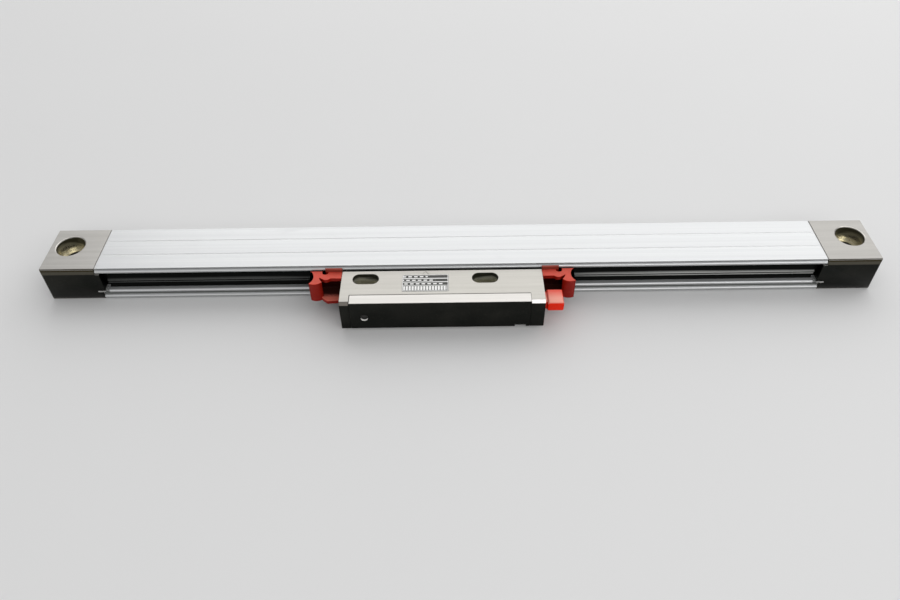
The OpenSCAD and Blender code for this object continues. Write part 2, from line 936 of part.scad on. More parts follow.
module mounting_block() {
    mark = 2.2;
    color("silver")
        difference() {
            block_between(
                [block_left_x, block_front_y, block_low_z],
                [block_right_x, block_back_y, block_top_z]
            );
            // Step for the angled cover
            block_between(
                [cover_left_x - seat, block_front_y - 1, block_low_z - 1],
                [cover_right_x + seat, cover_back_y + cover_gasket_t, block_top_z + 1]
            );
            block_between(
                [cover_left_x - seat, block_front_y - 1, block_top_z - cover_t - seat],
                [cover_right_x + seat, block_front_y + cover_flange_w + seat, block_top_z + 1]
            );
            // Pocket for the electronics
            block_between(
                [pocket_left_x, block_front_y - 1, pocket_low_z],
                [pocket_right_x, pocket_back_y, pocket_top_z]
            );
            // Slotted fixing holes
            translate([0, 0, block_low_z - 1])
                at_slots()
                    slot_hole(block_t + 2);
            // Slit for the foot of the blade
            translate([slots_x, 0, mid_z])
                block_between(
                    [-blade_foot_l / 2 - seat, block_back_y - blade_foot_d - seat, -blade_t / 2 - seat],
                    [blade_foot_l / 2 + seat, block_back_y + 1, blade_t / 2 + seat]
                );
            // Opening for the connector socket
            block_between(
                [pocket_right_x - 1, socket_y - socket_w / 2 - seat, socket_z - socket_h / 2 - seat],
                [block_right_x + 1, socket_y + socket_w / 2 + seat, socket_z + socket_h / 2 + seat]
            );
            // Thread for the cover screw
            translate([screw_x, block_front_y - 1, screw_z])
                rod_y(screw_core_d, screw_l + 1.5);
            // Peg holes of the braces
            for (z = peg_zs) {
                translate([block_left_x - 1, peg_y, z])
                    rod_x(peg_d + 2 * peg_gap, peg_l + 1.3);
                translate([block_right_x - peg_l - 0.3, peg_y, z])
                    rod_x(peg_d + 2 * peg_gap, peg_l + 1.3);
            }
            // Centre mark at the edge towards the extrusion
            translate([slots_x, block_back_y, block_top_z - 0.2])
                linear_extrude(height = 1)
                    polygon([[-mark / 1.6, -mark], [mark / 1.6, -mark], [0, -0.2]]);
            // Shallow seat of the label
            translate([slots_x, label_y, block_top_z - label_t / 2])
                linear_extrude(height = 1)
                    round_rect(label_l + 2 * seat, label_w + 2 * seat, 0.5);
            front_bevel(block_left_x - 1, cover_left_x);
            front_bevel(cover_right_x, block_right_x + 1);
        }
}

module label_plate() {
    color("gray")
        translate([slots_x, label_y, block_top_z - label_t / 2])
            linear_extrude(height = label_t)
                round_rect(label_l, label_w, 0.5 - seat);
}

// Circuit board and its two largest components.
module interface_board() {
    color("seagreen") {
        block_between(
            [board_left_x, board_y, pocket_low_z + board_gap_z],
            [board_right_x, board_y + interface_t, pocket_top_z - board_gap_z]
        );
        for (k = [0 : 2])
            translate([first_chip_x + k * chip_pitch, board_y + interface_t - eps, mid_z - chip_w / 2])
                cube([chip_l, chip_t, chip_w]);
        // Spacers against the back of the pocket
        for (x = [pocket_left_x + spacer_left, pocket_right_x - spacer_right])
            translate([x, board_y + interface_t - eps, mid_z])
                rod_y(spacer_d, pocket_back_y - board_y - interface_t + eps);
    }
}

// Flat frame behind the cover's front plate.
module cover_gasket() {
    margin = 0.25;
    color([0.12, 0.12, 0.12])
        difference() {
            block_between(
                [cover_left_x + margin, cover_back_y, block_low_z + margin],
                [cover_right_x - margin, cover_back_y + cover_gasket_t, block_top_z - cover_t - seat]
            );
            block_between(
                [pocket_left_x, cover_back_y - 1, pocket_low_z],
                [pocket_right_x, cover_back_y + 1, pocket_top_z - 0.6]
            );
            translate([screw_x, cover_back_y - 1, screw_z])
                rod_y(screw_core_d + 0.4, 2);
        }
}

// Angled cover: front plate with a flange over the top edge.
module block_cover() {
    color("lightgray")
        difference() {
            union() {
                block_between(
                    [cover_left_x, block_front_y, block_low_z],
                    [cover_right_x, cover_back_y, block_top_z]
                );
                block_between(
                    [cover_left_x, cover_back_y - eps, block_top_z - cover_t],
                    [cover_right_x, block_front_y + cover_flange_w, block_top_z]
                );
            }
            // Countersink of the cover screw
            translate([screw_x, block_front_y - eps, screw_z])
                rotate([-90, 0, 0])
                    cylinder(d1 = screw_head_d + 0.3, d2 = screw_core_d + 0.2, h = 0.9);
            translate([screw_x, block_front_y - 1, screw_z])
                rod_y(screw_core_d + 0.2, cover_t + 2);
            // Lever notch in the lower edge
            block_between(
                [notch_x, block_front_y - 1, block_low_z - 1],
                [notch_x + notch_l, block_front_y + 0.8, block_low_z + notch_h]
            );
        }
}

module cover_screw() {
    color("silver")
        translate([screw_x, block_front_y + 0.1, screw_z])
            difference() {
                union() {
                    rotate([-90, 0, 0])
                        cylinder(d1 = screw_head_d, d2 = screw_core_d, h = 0.8);
                    rod_y(screw_core_d - 2 * seat, screw_l);
                }
                translate([-2, -1, -0.2])
                    cube([4, 1.4, 0.4]);
            }
}

// ---- Connector --------------------------------------------------------

module connector_socket() {
    color([0.13, 0.13, 0.14])
        translate([block_right_x - 0.3 - socket_l / 2, socket_y, socket_z])
            difference() {
                cube([socket_l, socket_w, socket_h], center = true);
                translate([1.5, 0, 0])
                    cube([socket_l, socket_w - 2 * socket_wall, socket_h - 2 * socket_wall], center = true);
                for (row = [0 : pin_rows - 1], i = [0 : pins_per_row - 1])
                    translate([-socket_l, pin_offset_y(i), pin_offset_z(row)])
                        rod_x(contact_d, socket_l);
            }
}

module connector_pins() {
    color("gold")
        translate([block_right_x - 0.3 - socket_l - 1, socket_y, socket_z])
            for (row = [0 : pin_rows - 1], i = [0 : pins_per_row - 1])
                translate([0, pin_offset_y(i), pin_offset_z(row)])
                    rod_x(contact_d, 4);
}

// Dust cap: a plug that fills the socket, and a grip with round corners both ways.
module connector_cap() {
    grip_w = 8.3;
    grip_h = 4.8;
    corner_r = 0.9;
    neck = 0.35;
    stand = 1.2;
    grip_l = cap_l - stand;
    plug_w = socket_w - 2 * socket_wall - 0.3;
    plug_h = socket_h - 2 * socket_wall - 0.3;
    color("orangered")
        translate([block_right_x, socket_y, socket_z]) {
            translate([-2.6, -plug_w / 2, -plug_h / 2])
                cube([2.6 + stand, plug_w, plug_h]);
            translate([0.15, -plug_w / 2 - neck, -plug_h / 2 - neck])
                cube([stand, plug_w + 2 * neck, plug_h + 2 * neck]);
            translate([(stand + cap_l) / 2, 0, 0])
                intersection() {
                    along_x(grip_l)
                        round_rect(grip_w, grip_h, corner_r);
                    rotate([90, 0, 0])
                        linear_extrude(height = grip_w + 1, center = true)
                            round_rect(grip_l, grip_h, corner_r);
                }
        }
}

// ---- Shipping braces --------------------------------------------------

// One layer of the right-hand brace, drawn in (u, v): u runs outwards from the end
// of the block, and v forwards from the brace's back, which lies close to the bead.
module brace_layer(low_z, high_z) {
    translate([block_right_x, brace_back_y, low_z])
        mirror([0, 1, 0])
            linear_extrude(height = high_z - low_z)
                children();
}

// Tail: a post with a round front, hollowed on both sides so that four tips stand out.
module tail_plan() {
    difference() {
        intersection() {
            translate([brace_l - 5.4, 0])
                square([5.4, 9]);
            translate([brace_l - 2.2, 3.4])
                circle(r = 4.5);
        }
        translate([brace_l + 3.2, 3.7])
            circle(r = 4.7);
        translate([brace_l - 8, 3.1])
            circle(r = 4);
    }
}

// Arm from the block to the tail, with a round notch between tab and tail.
module arm_plan() {
    notch_r = 1.3;
    notch_u = brace_l - 6.4;
    difference() {
        union() {
            polygon([
                [seat, 0], [seat, 4.5], [brace_l - 9.6, 4.4],
                [brace_l - 5, 4.5], [brace_l - 3.6, 3.4], [brace_l - 3.6, 0]
            ]);
            translate([brace_l - 7, 3.1])
                circle(r = 2.2);
        }
        translate([notch_u, 0.8])
            circle(r = notch_r);
        translate([notch_u - notch_r, -1])
            square([2 * notch_r, 1.8]);
    }
}

// Foot: a broader plate under the arm, with a pointed front.
module foot_plan() {
    polygon([
        [seat, 0.4], [seat, 8.8], [brace_l - 10.4, 9.4], [brace_l - 7.2, 9.6],
        [brace_l - 5.2, 8.1], [brace_l - 4, 6], [brace_l - 4, 0.4]
    ]);
}

// Brace at the right end of the block.
module brace() {
    brace_layer(brace_low_z, brace_top_z)
        tail_plan();
    brace_layer(brace_top_z - brace_arm_t, brace_top_z)
        arm_plan();
    brace_layer(brace_low_z, brace_low_z + brace_arm_t)
        foot_plan();
    // Wall at the back and pad on the end face
    brace_layer(brace_low_z, brace_top_z - brace_arm_t + eps)
        translate([seat, 0]) {
            square([brace_l - 4 - seat, brace_wall_t]);
            square([brace_wall_t, 4.4]);
        }
    // Tab that stands up in front of the bead
    brace_layer(brace_top_z - brace_arm_t, brace_tab_z)
        polygon([[seat, 0], [brace_l - 6.3, 0], [brace_l - 6.8, 0.8], [seat, 1]]);
    // Pegs in the end face
    for (z = peg_zs)
        translate([block_right_x - peg_l, peg_y, z])
            rod_x(peg_d, peg_l + brace_wall_t);
}

module shipping_brace_right() {
    color("firebrick")
        brace();
}

module shipping_brace_left() {
    color("firebrick")
        translate([2 * carriage_x, 0, 0])
            mirror([1, 0, 0])
                brace();
}

// ---- Assembly ---------------------------------------------------------

scale_housing();
end_block_left();
end_block_right();
end_gaskets();
end_block_screws();
air_port_plugs();
glass_scale();
scale_bond();
upper_sealing_lip();
lower_sealing_lip();
lip_clamps();
scanning_yoke();
bearing_pins();
bearing_inner_rings();
face_bearing_left();
face_bearing_right();
face_bearing_middle();
edge_bearing_left();
edge_bearing_right();
light_source();
condenser_lens();
scanning_reticle();
sensor_board();
photo_sensor();
coupling_bracket();
coupling_spring();
coupling_blade();
mounting_block();
interface_board();
cover_gasket();
block_cover();
cover_screw();
connector_socket();
connector_pins();
connector_cap();
label_plate();
shipping_brace_left();
shipping_brace_right();
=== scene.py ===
"""Finishes of a sealed slimline linear encoder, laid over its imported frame.

The encoder is dressed sub-assembly by sub-assembly: the extruded housing with its end
blocks, the sealing lips, the glass with its scanning carriage, the mounting block with
its angled cover, the connector and the shipping braces. Sizes inside the patterns are in
millimetres; everything that is placed in the scene is in metres, in the frame's axes.
"""

import json
import logging
import math
from collections.abc import Callable
from dataclasses import dataclass, field
from enum import Enum
from typing import Protocol

import bmesh
import bpy
import numpy as np
from mathutils import Matrix, Vector

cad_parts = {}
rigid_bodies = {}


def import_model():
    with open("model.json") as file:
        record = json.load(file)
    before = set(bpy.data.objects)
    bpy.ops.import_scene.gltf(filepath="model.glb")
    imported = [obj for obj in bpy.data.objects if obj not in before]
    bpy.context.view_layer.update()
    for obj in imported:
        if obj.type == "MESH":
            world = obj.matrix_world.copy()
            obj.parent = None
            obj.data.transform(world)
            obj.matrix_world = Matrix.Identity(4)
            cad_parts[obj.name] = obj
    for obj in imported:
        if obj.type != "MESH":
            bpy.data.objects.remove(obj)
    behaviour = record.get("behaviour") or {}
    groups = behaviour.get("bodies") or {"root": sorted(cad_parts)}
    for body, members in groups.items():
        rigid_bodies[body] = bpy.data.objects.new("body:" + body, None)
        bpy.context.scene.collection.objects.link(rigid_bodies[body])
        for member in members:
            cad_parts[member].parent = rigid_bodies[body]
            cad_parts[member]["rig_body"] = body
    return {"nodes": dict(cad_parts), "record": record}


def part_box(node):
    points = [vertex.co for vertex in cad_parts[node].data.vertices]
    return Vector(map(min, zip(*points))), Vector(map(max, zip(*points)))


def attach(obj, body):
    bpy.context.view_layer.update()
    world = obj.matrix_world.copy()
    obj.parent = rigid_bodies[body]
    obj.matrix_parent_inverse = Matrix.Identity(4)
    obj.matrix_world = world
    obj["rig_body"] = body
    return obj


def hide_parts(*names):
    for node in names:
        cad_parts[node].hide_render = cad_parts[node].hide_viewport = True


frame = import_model()

MM = 0.001
LOG = logging.getLogger("linear_encoder")

Pair = tuple[float, float]
Triple = tuple[float, float, float]
Colour = Triple
Names = tuple[str, ...]
Eased = tuple[tuple[str, float], ...]
Material = bpy.types.Material

# Ranges of a noise that are spread over a whole ramp.
SOFT: Pair = (0.3, 0.7)
CRISP: Pair = (0.35, 0.65)


class Grain(Enum):
    """Marks per millimetre along x, y and z that a way of working leaves."""

    EXTRUDED = (0.003, 5.0, 5.0)
    GROUND = (0.012, 1.0, 1.0)
    TURNED = (9.0, 9.0, 9.0)
    MOULDED = (7.0, 7.0, 7.0)
    DRAWN = (0.004, 3.0, 3.0)
    ROLLED = (0.4, 9.0, 1.0)


# ---- Shader arithmetic ----


def math_method(operation: str, swapped: bool = False) -> Callable[["Value", "Number"], "Value"]:
    """Makes a method of Value that adds one Math node.

    Args:
        operation: the node's operation; a comparison gives 1 where it holds, else 0.
        swapped: whether the other number comes first.

    Returns:
        The method.
    """

    def method(self: "Value", other: "Number") -> "Value":
        """Joins the value and the other number."""
        pair = {0: other, 1: self} if swapped else {0: self, 1: other}
        return self.graph.node("ShaderNodeMath", {"operation": operation}, pair)

    return method


class Value:
    """A node's output socket that takes part in arithmetic."""

    def __init__(self, graph: "NodeGraph", socket: bpy.types.NodeSocket) -> None:
        """Wraps one socket of a graph."""
        self.graph = graph
        self.socket = socket

    __add__ = math_method("ADD")
    __sub__ = math_method("SUBTRACT")
    __rsub__ = math_method("SUBTRACT", swapped=True)
    __mul__ = math_method("MULTIPLY")
    __truediv__ = math_method("DIVIDE")
    __pow__ = math_method("POWER")
    __lt__ = math_method("LESS_THAN")
    __gt__ = math_method("GREATER_THAN")
    most = math_method("MAXIMUM")

    def abs(self) -> "Value":
        """Absolute value."""
        return self.most(0.0 - self)

    def wrap(self, period: float) -> "Value":
        """Remainder after division by a period, from 0 to the period."""
        inputs = {0: self, 1: period, 2: 0.0}
        return self.graph.node("ShaderNodeMath", {"operation": "WRAP"}, inputs)

    def ramp(self, low: float, high: float, start: float = 0.0, end: float = 1.0) -> "Value":
        """Maps low..high to start..end, held at both ends.

        Args:
            low: value that gives start.
            high: value that gives end.
            start: result at low.
            end: result at high.

        Returns:
            The mapped value.
        """
        inputs = {"Value": self, "From Min": low, "From Max": high, "To Min": start, "To Max": end}
        return self.graph.node("ShaderNodeMapRange", {"clamp": True}, inputs)


Number = Value | float
Paint = Value | Colour


def opaque(value: Number | Paint) -> Value | float | tuple[float, ...]:
    """Adds the alpha that a colour socket wants, and leaves all other values alone."""
    return (*value, 1.0) if isinstance(value, tuple) else value


def distance(u: Value, v: Value) -> Value:
    """Length of the vector (u, v)."""
    return (u * u + v * v) ** 0.5


class NodeGraph:
    """The nodes of a material or a world."""

    def __init__(self, owner: Material | bpy.types.World) -> None:
        """Empties the owner's nodes.

        Args:
            owner: the material or world.
        """
        owner.use_nodes = True
        self.tree = owner.node_tree
        self.tree.nodes.clear()

    def split(self, vector: Value) -> tuple[Value, Value, Value]:
        """The three components of a vector."""
        parts = self.node("ShaderNodeSeparateXYZ", inputs={0: vector}).socket.node
        return tuple(Value(self, parts.outputs[i]) for i in range(3))

    def node(self, kind: str, settings: dict | None = None, inputs: dict | None = None,
             output: int | str = 0) -> Value:
        """Adds a node: its settings first, then the values or links of its sockets.

        Args:
            kind: the node's type.
            settings: its properties.
            inputs: socket name or number to a Value, a number or a tuple.
            output: the output that is returned.

        Returns:
            The chosen output.
        """
        made = self.tree.nodes.new(kind)
        for key, value in (settings or {}).items():
            setattr(made, key, value)
        for key, value in (inputs or {}).items():
            if isinstance(value, Value):
                self.tree.links.new(value.socket, made.inputs[key])
            else:
                made.inputs[key].default_value = value
        return Value(self, made.outputs[output])

    def mix(self, share: Value, first: Paint, second: Paint) -> Value:
        """Mixes two colours.

        Args:
            share: 0 gives the first colour, 1 the second.
            first: colour or socket.
            second: colour or socket.

        Returns:
            The mixed colour.
        """
        inputs = {0: share, 6: opaque(first), 7: opaque(second)}
        return self.node("ShaderNodeMix", {"data_type": "RGBA"}, inputs, output=2)

    def end(self, kind: str, shader: Value) -> None:
        """Leads a shader to an output node of the kind."""
        out = self.tree.nodes.new(kind)
        self.tree.links.new(shader.socket, out.inputs["Surface"])


class Graph(NodeGraph):
    """One material's nodes, with Object coordinates in millimetres ready to use."""

    def __init__(self, name: str) -> None:
        """Makes an empty material whose output waits for a surface.

        Args:
            name: the material's name.
        """
        self.material = bpy.data.materials.new(name)
        super().__init__(self.material)
        place = self.node("ShaderNodeTexCoord", output="Object")
        scale = {0: place, "Scale": 1.0 / MM}
        self.mm = self.node("ShaderNodeVectorMath", {"operation": "SCALE"}, scale)
        self.x, self.y, self.z = self.split(self.mm)

    def normal(self) -> tuple[Value, Value, Value]:
        """The three components of the surface's direction, in the piece's own axes."""
        return self.split(self.node("ShaderNodeTexCoord", output="Normal"))

    def noise(self, marks: Grain | Triple, detail: float = 2.0, rough: float = 0.5,
              shift: Triple = (0.0, 0.0, 0.0), finer: float = 1.0) -> Value:
        """Fractal noise over the millimetre coordinates.

        Args:
            marks: features per millimetre along each axis.
            detail: number of finer octaves.
            rough: share of the finer octaves.
            shift: offset that makes two noises differ.
            finer: factor on the number of features.

        Returns:
            A value near 0.5, from 0 to 1.
        """
        stretch = marks.value if isinstance(marks, Grain) else marks
        place = {0: self.mm, 1: tuple(finer * s for s in stretch), 2: shift}
        moved = self.node("ShaderNodeVectorMath", {"operation": "MULTIPLY_ADD"}, place)
        inputs = {"Vector": moved, "Scale": 1.0, "Detail": detail, "Roughness": rough}
        return self.node("ShaderNodeTexNoise", inputs=inputs)

    def bump(self, height_mm: Value) -> Value:
        """Turns a height in millimetres into a shading normal."""
        return self.node("ShaderNodeBump", inputs={"Distance": MM, "Height": height_mm})

    def surface(self, **sockets: Number | Paint) -> Material:
        """Adds the Principled shader and the output.

        Args:
            **sockets: Principled sockets, with underscores for spaces.

        Returns:
            The finished material.
        """
        inputs = {key.replace("_", " "): opaque(value) for key, value in sockets.items()}
        self.end("ShaderNodeOutputMaterial", self.node("ShaderNodeBsdfPrincipled", None, inputs))
        return self.material


# ---- Finishes ----


class Finish(Protocol):
    """What a piece is painted with."""

    def material(self) -> Material:
        """Builds the finish's material."""


@dataclass(frozen=True)
class DrawnAluminium:
    """Satin anodised extrusion with fine die lines along its length.

    The faces beside the slot, in front of front_y, carry painted shade where they face
    straight to the front. The grooves between the two depths of groove_depths, below
    the top, are painted lighter than the rest, to take out their shade.
    """

    top: float
    light: Colour = (0.72, 0.73, 0.73)
    dark: Colour = (0.62, 0.63, 0.635)
    # groove is painted light in the grooves; film is painted shade on the front faces.
    groove_painted_light: Colour = (0.93, 0.94, 0.94)
    painted_lighting: Colour = (0.10, 0.105, 0.10)
    front_shade_share: float = 0.92
    metallic: float = 0.6
    roughness: Pair = (0.28, 0.38)
    line_depth: float = 0.004
    front_y: float = -13.0
    facing_front: Pair = (-0.985, -0.999)
    groove_depths: Pair = (0.04, 0.6)
    overhang: float = -0.5
    smudged: Pair = (0.63, 0.74)
    smudge_share: float = 0.3

    def material(self) -> Material:
        """Builds the extrusion's material.

        Returns:
            The finished material.
        """
        g = Graph("anodised_aluminium")
        fine = g.noise(Grain.EXTRUDED, detail=3.0, rough=0.6)
        broad = g.noise((0.002, 0.7, 0.7), shift=(7.0, 3.0, 1.0))
        haze = g.noise((0.02, 0.08, 0.08), shift=(1.0, 9.0, 4.0))
        handled = g.noise((0.05, 0.3, 0.3), detail=4.0, rough=0.65, shift=(3.0, 5.0, 2.0))
        streaks = fine.ramp(*CRISP) * 0.55 + broad.ramp(0.4, 0.62) * 0.3 + haze * 0.15
        smudge = handled.ramp(*self.smudged)
        lined = g.mix(streaks, self.dark, self.light)
        colour = g.mix(smudge * self.smudge_share, lined, self.dark)
        _, across, upward = g.normal()
        # Painted shade on the faces beside the slot that look straight to the front.
        front_shaded = across.ramp(*self.facing_front) * (g.y < self.front_y)
        mouth, floor = (self.top - depth for depth in self.groove_depths)
        grooved = (g.z < mouth) * (g.z > floor) * (g.y > self.front_y) * (upward > self.overhang)
        # The grooves are painted lighter, to take out the shade in them.
        colour = g.mix(grooved, colour, self.groove_painted_light)
        return g.surface(
            Base_Color=g.mix(front_shaded * self.front_shade_share, colour, self.painted_lighting),
            Metallic=self.metallic - grooved * 0.3,
            Roughness=fine.ramp(*SOFT, *self.roughness) + smudge * 0.08 + grooved * 0.2,
            Normal=g.bump((fine + broad * 2.0) * self.line_depth),
        )


@dataclass
class Layers:
    """What the layers of a finish add up to, until the shader takes it."""

    colour: Value
    metallic: Number
    roughness: Value
    height: Value


@dataclass(frozen=True)
class ShadedBores:
    """Bores in bright steel, each (x, y, radius) in millimetres.

    The cutter left rings on the walls. The walls are painted shade near the mouth and
    painted light deeper down, which takes over between the two depths of clearing, and
    sooner by lean per millimetre away from the middle of the scale; the step is painted
    bright as a highlight. Inside the radius oiled a painted black shadow stands for the
    hole. Around the mouth runs a rim, painted shade behind and a painted highlight where
    it faces out and back.
    """

    places: tuple[Triple, ...]
    # light and shade are painted light and painted shade on the walls.
    light: Colour
    shade: Colour
    lit_depths: Pair
    lean: float
    # step is a painted highlight on the floor; oil is a painted black shadow for the hole.
    lit_step: Colour = (0.95, 0.90, 0.76)
    hole_shade: Colour = (0.006, 0.006, 0.005)
    hole_shade_radius: float = 0.0
    rim: float = 0.0
    # The rim's colours are painted shade and a painted highlight.
    rim_shade_and_highlight: tuple[Colour, Colour] = ((0.05, 0.046, 0.035), (0.98, 0.95, 0.86))
    rim_facing: Pair = (2.0, 6.0)
    rim_backing: float = 1.2
    rim_share: float = 0.8
    mouth: float = 0.05
    slack: float = 0.02
    rings: Triple = (0.25, 0.25, 3.2)
    ring_depth: float = 0.03
    wander: float = 2.4
    level: float = 0.7
    flat: float = 0.9
    dulled: float = 0.9
    brightened: float = 0.75
    smoothed: float = 0.14

    def lay(self, g: Graph, layers: Layers, top: float) -> None:
        """Lays the bores over the other layers.

        Args:
            g: the material's graph.
            layers: what lies below, which is changed.
            top: height of the bores' mouths.
        """
        upward = g.normal()[2]
        for x, y, radius in self.places:
            away = distance(g.x - x, g.y - y)
            inside = (away < radius + self.slack) * (g.z < top - self.mouth)
            rings = g.noise(self.rings, detail=3.0, rough=0.6, shift=(x, y, 0.0))
            outward = (g.x - x) * math.copysign(1.0, x)
            # Painted shade near the mouth turns into painted light deeper down.
            height = g.z + (rings - 0.5) * self.wander - outward * self.lean
            lit = height.ramp(*(top - depth for depth in self.lit_depths))
            lit_step = upward > self.level
            inner = g.mix(lit_step, g.mix(lit, self.shade, self.light), self.lit_step)
            # A painted black shadow inside the radius stands for the hole.
            inner = g.mix(away < self.hole_shade_radius, inner, self.hole_shade)
            layers.colour = g.mix(inside, layers.colour, inner)
            if self.rim:
                # The rim carries painted shade behind and a painted highlight where it faces out
                # and back.
                facing = (outward + (g.y - y) * self.rim_backing).ramp(*self.rim_facing)
                ring = (away < radius + self.rim) * (away > radius) * (upward > self.flat)
                ring = ring * facing.most((g.y > y) * self.rim_share)
                layers.colour = g.mix(ring, layers.colour, g.mix(facing, *self.rim_shade_and_highlight))
            polished = lit.most(lit_step) * (away > self.hole_shade_radius)
            layers.height = layers.height + inside * rings * self.ring_depth
            hidden = self.dulled - polished * self.brightened
            layers.metallic = layers.metallic - inside * hidden
            layers.roughness = layers.roughness - inside * polished * self.smoothed


@dataclass(frozen=True)
class LitLedgeBand:
    """Band from the top edge down to low, painted in light and shade.

    Its upper half is painted shade and its lower half a painted highlight, which stands
    in for a lit ledge. soft holds half the widths of the borders inside it and at its
    foot, which waver with the specks.
    """

    low: float
    # Painted shade for the upper half and a painted highlight for the lower half.
    shaded_upper_half: Colour = (0.040, 0.033, 0.017)
    lit_lower_half: Colour = (0.085, 0.079, 0.062)
    soft: Pair = (0.12, 0.06)

    def lay(self, g: Graph, skin: Value, specks: Value, top: float) -> Value:
        """Lays the band over a side's skin.

        Args:
            g: the material's graph.
            skin: colour of the side.
            specks: noise that the borders follow.
            top: height of the top edge.

        Returns:
            Colour of the side with its band.
        """
        middle = (top + self.low) / 2
        inner, foot = self.soft
        uneven = (specks - 0.5) * 0.5
        # The lower half is a painted highlight that stands in for a lit ledge, the upper half
        # painted shade.
        lower = (g.z + uneven).ramp(middle + inner, middle - inner)
        in_band = (g.z + uneven * 0.3).ramp(self.low - foot, self.low + foot)
        return g.mix(in_band, skin, g.mix(lower, self.shaded_upper_half, self.lit_lower_half))


@dataclass(frozen=True)
class GroundSteel:
    """Steel whose flat faces are ground bright, while its sides are painted dark as shade.

    A bevel that faces the front is stained left of the first x of bevel_x, and carries a
    painted highlight right of the second. Oil darkens a seam: the strip of its third
    number's width along the left edge x and the back edge y.
    """

    name: str
    light: Colour
    dark: Colour
    roughness: Pair = (0.32, 0.46)
    top: float = 0.0
    bores: ShadedBores | None = None
    band: LitLedgeBand | None = None
    bevel_x: Pair | None = None
    seam: Triple | None = None
    # side and worn_side_shade_and_seam_oil are painted shade on the sides;
    # worn_side_shade_and_seam_oil also darkens the seam.
    side: Colour = (0.014, 0.015, 0.013)
    worn_side_shade_and_seam_oil: Colour = (0.036, 0.035, 0.030)
    stain: Colour = (0.15, 0.13, 0.11)
    # Colour of the painted highlight on the bevel.
    bevel_highlight: Colour = (0.92, 0.90, 0.87)
    stain_share: float = 0.8
    seam_share: float = 0.85
    grain_depth: float = 0.003
    pored: Pair = (0.68, 0.76)
    pore_share: float = 0.5
    leaning: Pair = (0.6, 0.35)
    facing_front: float = -0.4
    facing_up: float = 0.3

    def _marked(self, g: Graph, ground: Value) -> Value:
        """Stains the ground faces, and paints a highlight on part of the bevel.

        Args:
            g: the material's graph.
            ground: their colour.

        Returns:
            Their colour with the oily seam, the stained bevel and its painted highlight.
        """
        _, across, upward = g.normal()
        if self.seam:
            x, y, width = self.seam
            oily = (g.x < x + width).most(g.y > y - width) * (upward > self.facing_up)
            ground = g.mix(oily * self.seam_share, ground, self.worn_side_shade_and_seam_oil)
        if self.bevel_x:
            bevel = across < self.facing_front
            stained, highlighted = g.x < self.bevel_x[0], g.x > self.bevel_x[1]
            ground = g.mix(stained * bevel * self.stain_share, ground, self.stain)
            # Right of the second x the bevel carries a painted highlight.
            ground = g.mix(highlighted * bevel, ground, self.bevel_highlight)
        return ground

    def material(self) -> Material:
        """Builds the steel's material.

        Returns:
            The finished material.
        """
        g = Graph(self.name)
        fine = g.noise(Grain.GROUND, detail=3.0, rough=0.6, finer=6.0)
        broad = g.noise(Grain.GROUND, shift=(2.0, 8.0, 5.0), finer=0.8)
        cloud = g.noise((0.06, 0.08, 0.08), detail=3.0, shift=(4.0, 1.0, 9.0))
        specks = g.noise((1.1, 1.1, 1.1), detail=4.0, rough=0.7, shift=(1.0, 7.0, 2.0))
        pores = g.noise((1.6, 1.6, 1.6), shift=(8.0, 2.0, 6.0)).ramp(*self.pored)
        streaks = fine.ramp(*CRISP) * 0.45 + broad.ramp(0.38, 0.62) * 0.3 + cloud * 0.25
        ground = g.mix(streaks, self.dark, self.light)
        ground = self._marked(g, g.mix(pores * self.pore_share, ground, self.dark))
        worn = specks.ramp(0.55, 0.75) * 0.5 + cloud.ramp(0.4, 0.7) * 0.5
        # The sides are painted dark as shade, in two tones that change at random.
        skin = g.mix(worn, self.side, self.worn_side_shade_and_seam_oil)
        if self.band:
            skin = self.band.lay(g, skin, specks, self.top)
        # Steep faces take the painted shade in place of the ground colour.
        upright_shade = g.normal()[2].abs().ramp(*self.leaning)
        layers = Layers(
            colour=g.mix(upright_shade, ground, skin),
            metallic=1.0,
            roughness=fine.ramp(*SOFT, *self.roughness) + pores * 0.1,
            height=(fine - pores * 2.0) * self.grain_depth,
        )
        if self.bores:
            self.bores.lay(g, layers, self.top)
        return g.surface(
            Base_Color=layers.colour,
            Metallic=layers.metallic,
            Roughness=layers.roughness,
            Normal=g.bump(layers.height),
        )


@dataclass(frozen=True)
class TurnedMetal:
    """Small bright or blackened turned parts, such as screws, pins and contacts."""

    name: str
    light: Colour
    dark: Colour
    roughness: Pair = (0.22, 0.36)
    mark_depth: float = 0.003

    def material(self) -> Material:
        """Builds the turned metal's material.

        Returns:
            The finished material.
        """
        g = Graph(self.name)
        marks = g.noise(Grain.TURNED, detail=3.0, rough=0.6)
        cloud = g.noise((0.7, 0.7, 0.7), shift=(5.0, 4.0, 3.0))
        return g.surface(
            Base_Color=g.mix(marks.ramp(*CRISP) * 0.6 + cloud * 0.4, self.dark, self.light),
            Metallic=1.0,
            Roughness=marks.ramp(*SOFT, *self.roughness),
            Normal=g.bump(marks * self.mark_depth),
        )


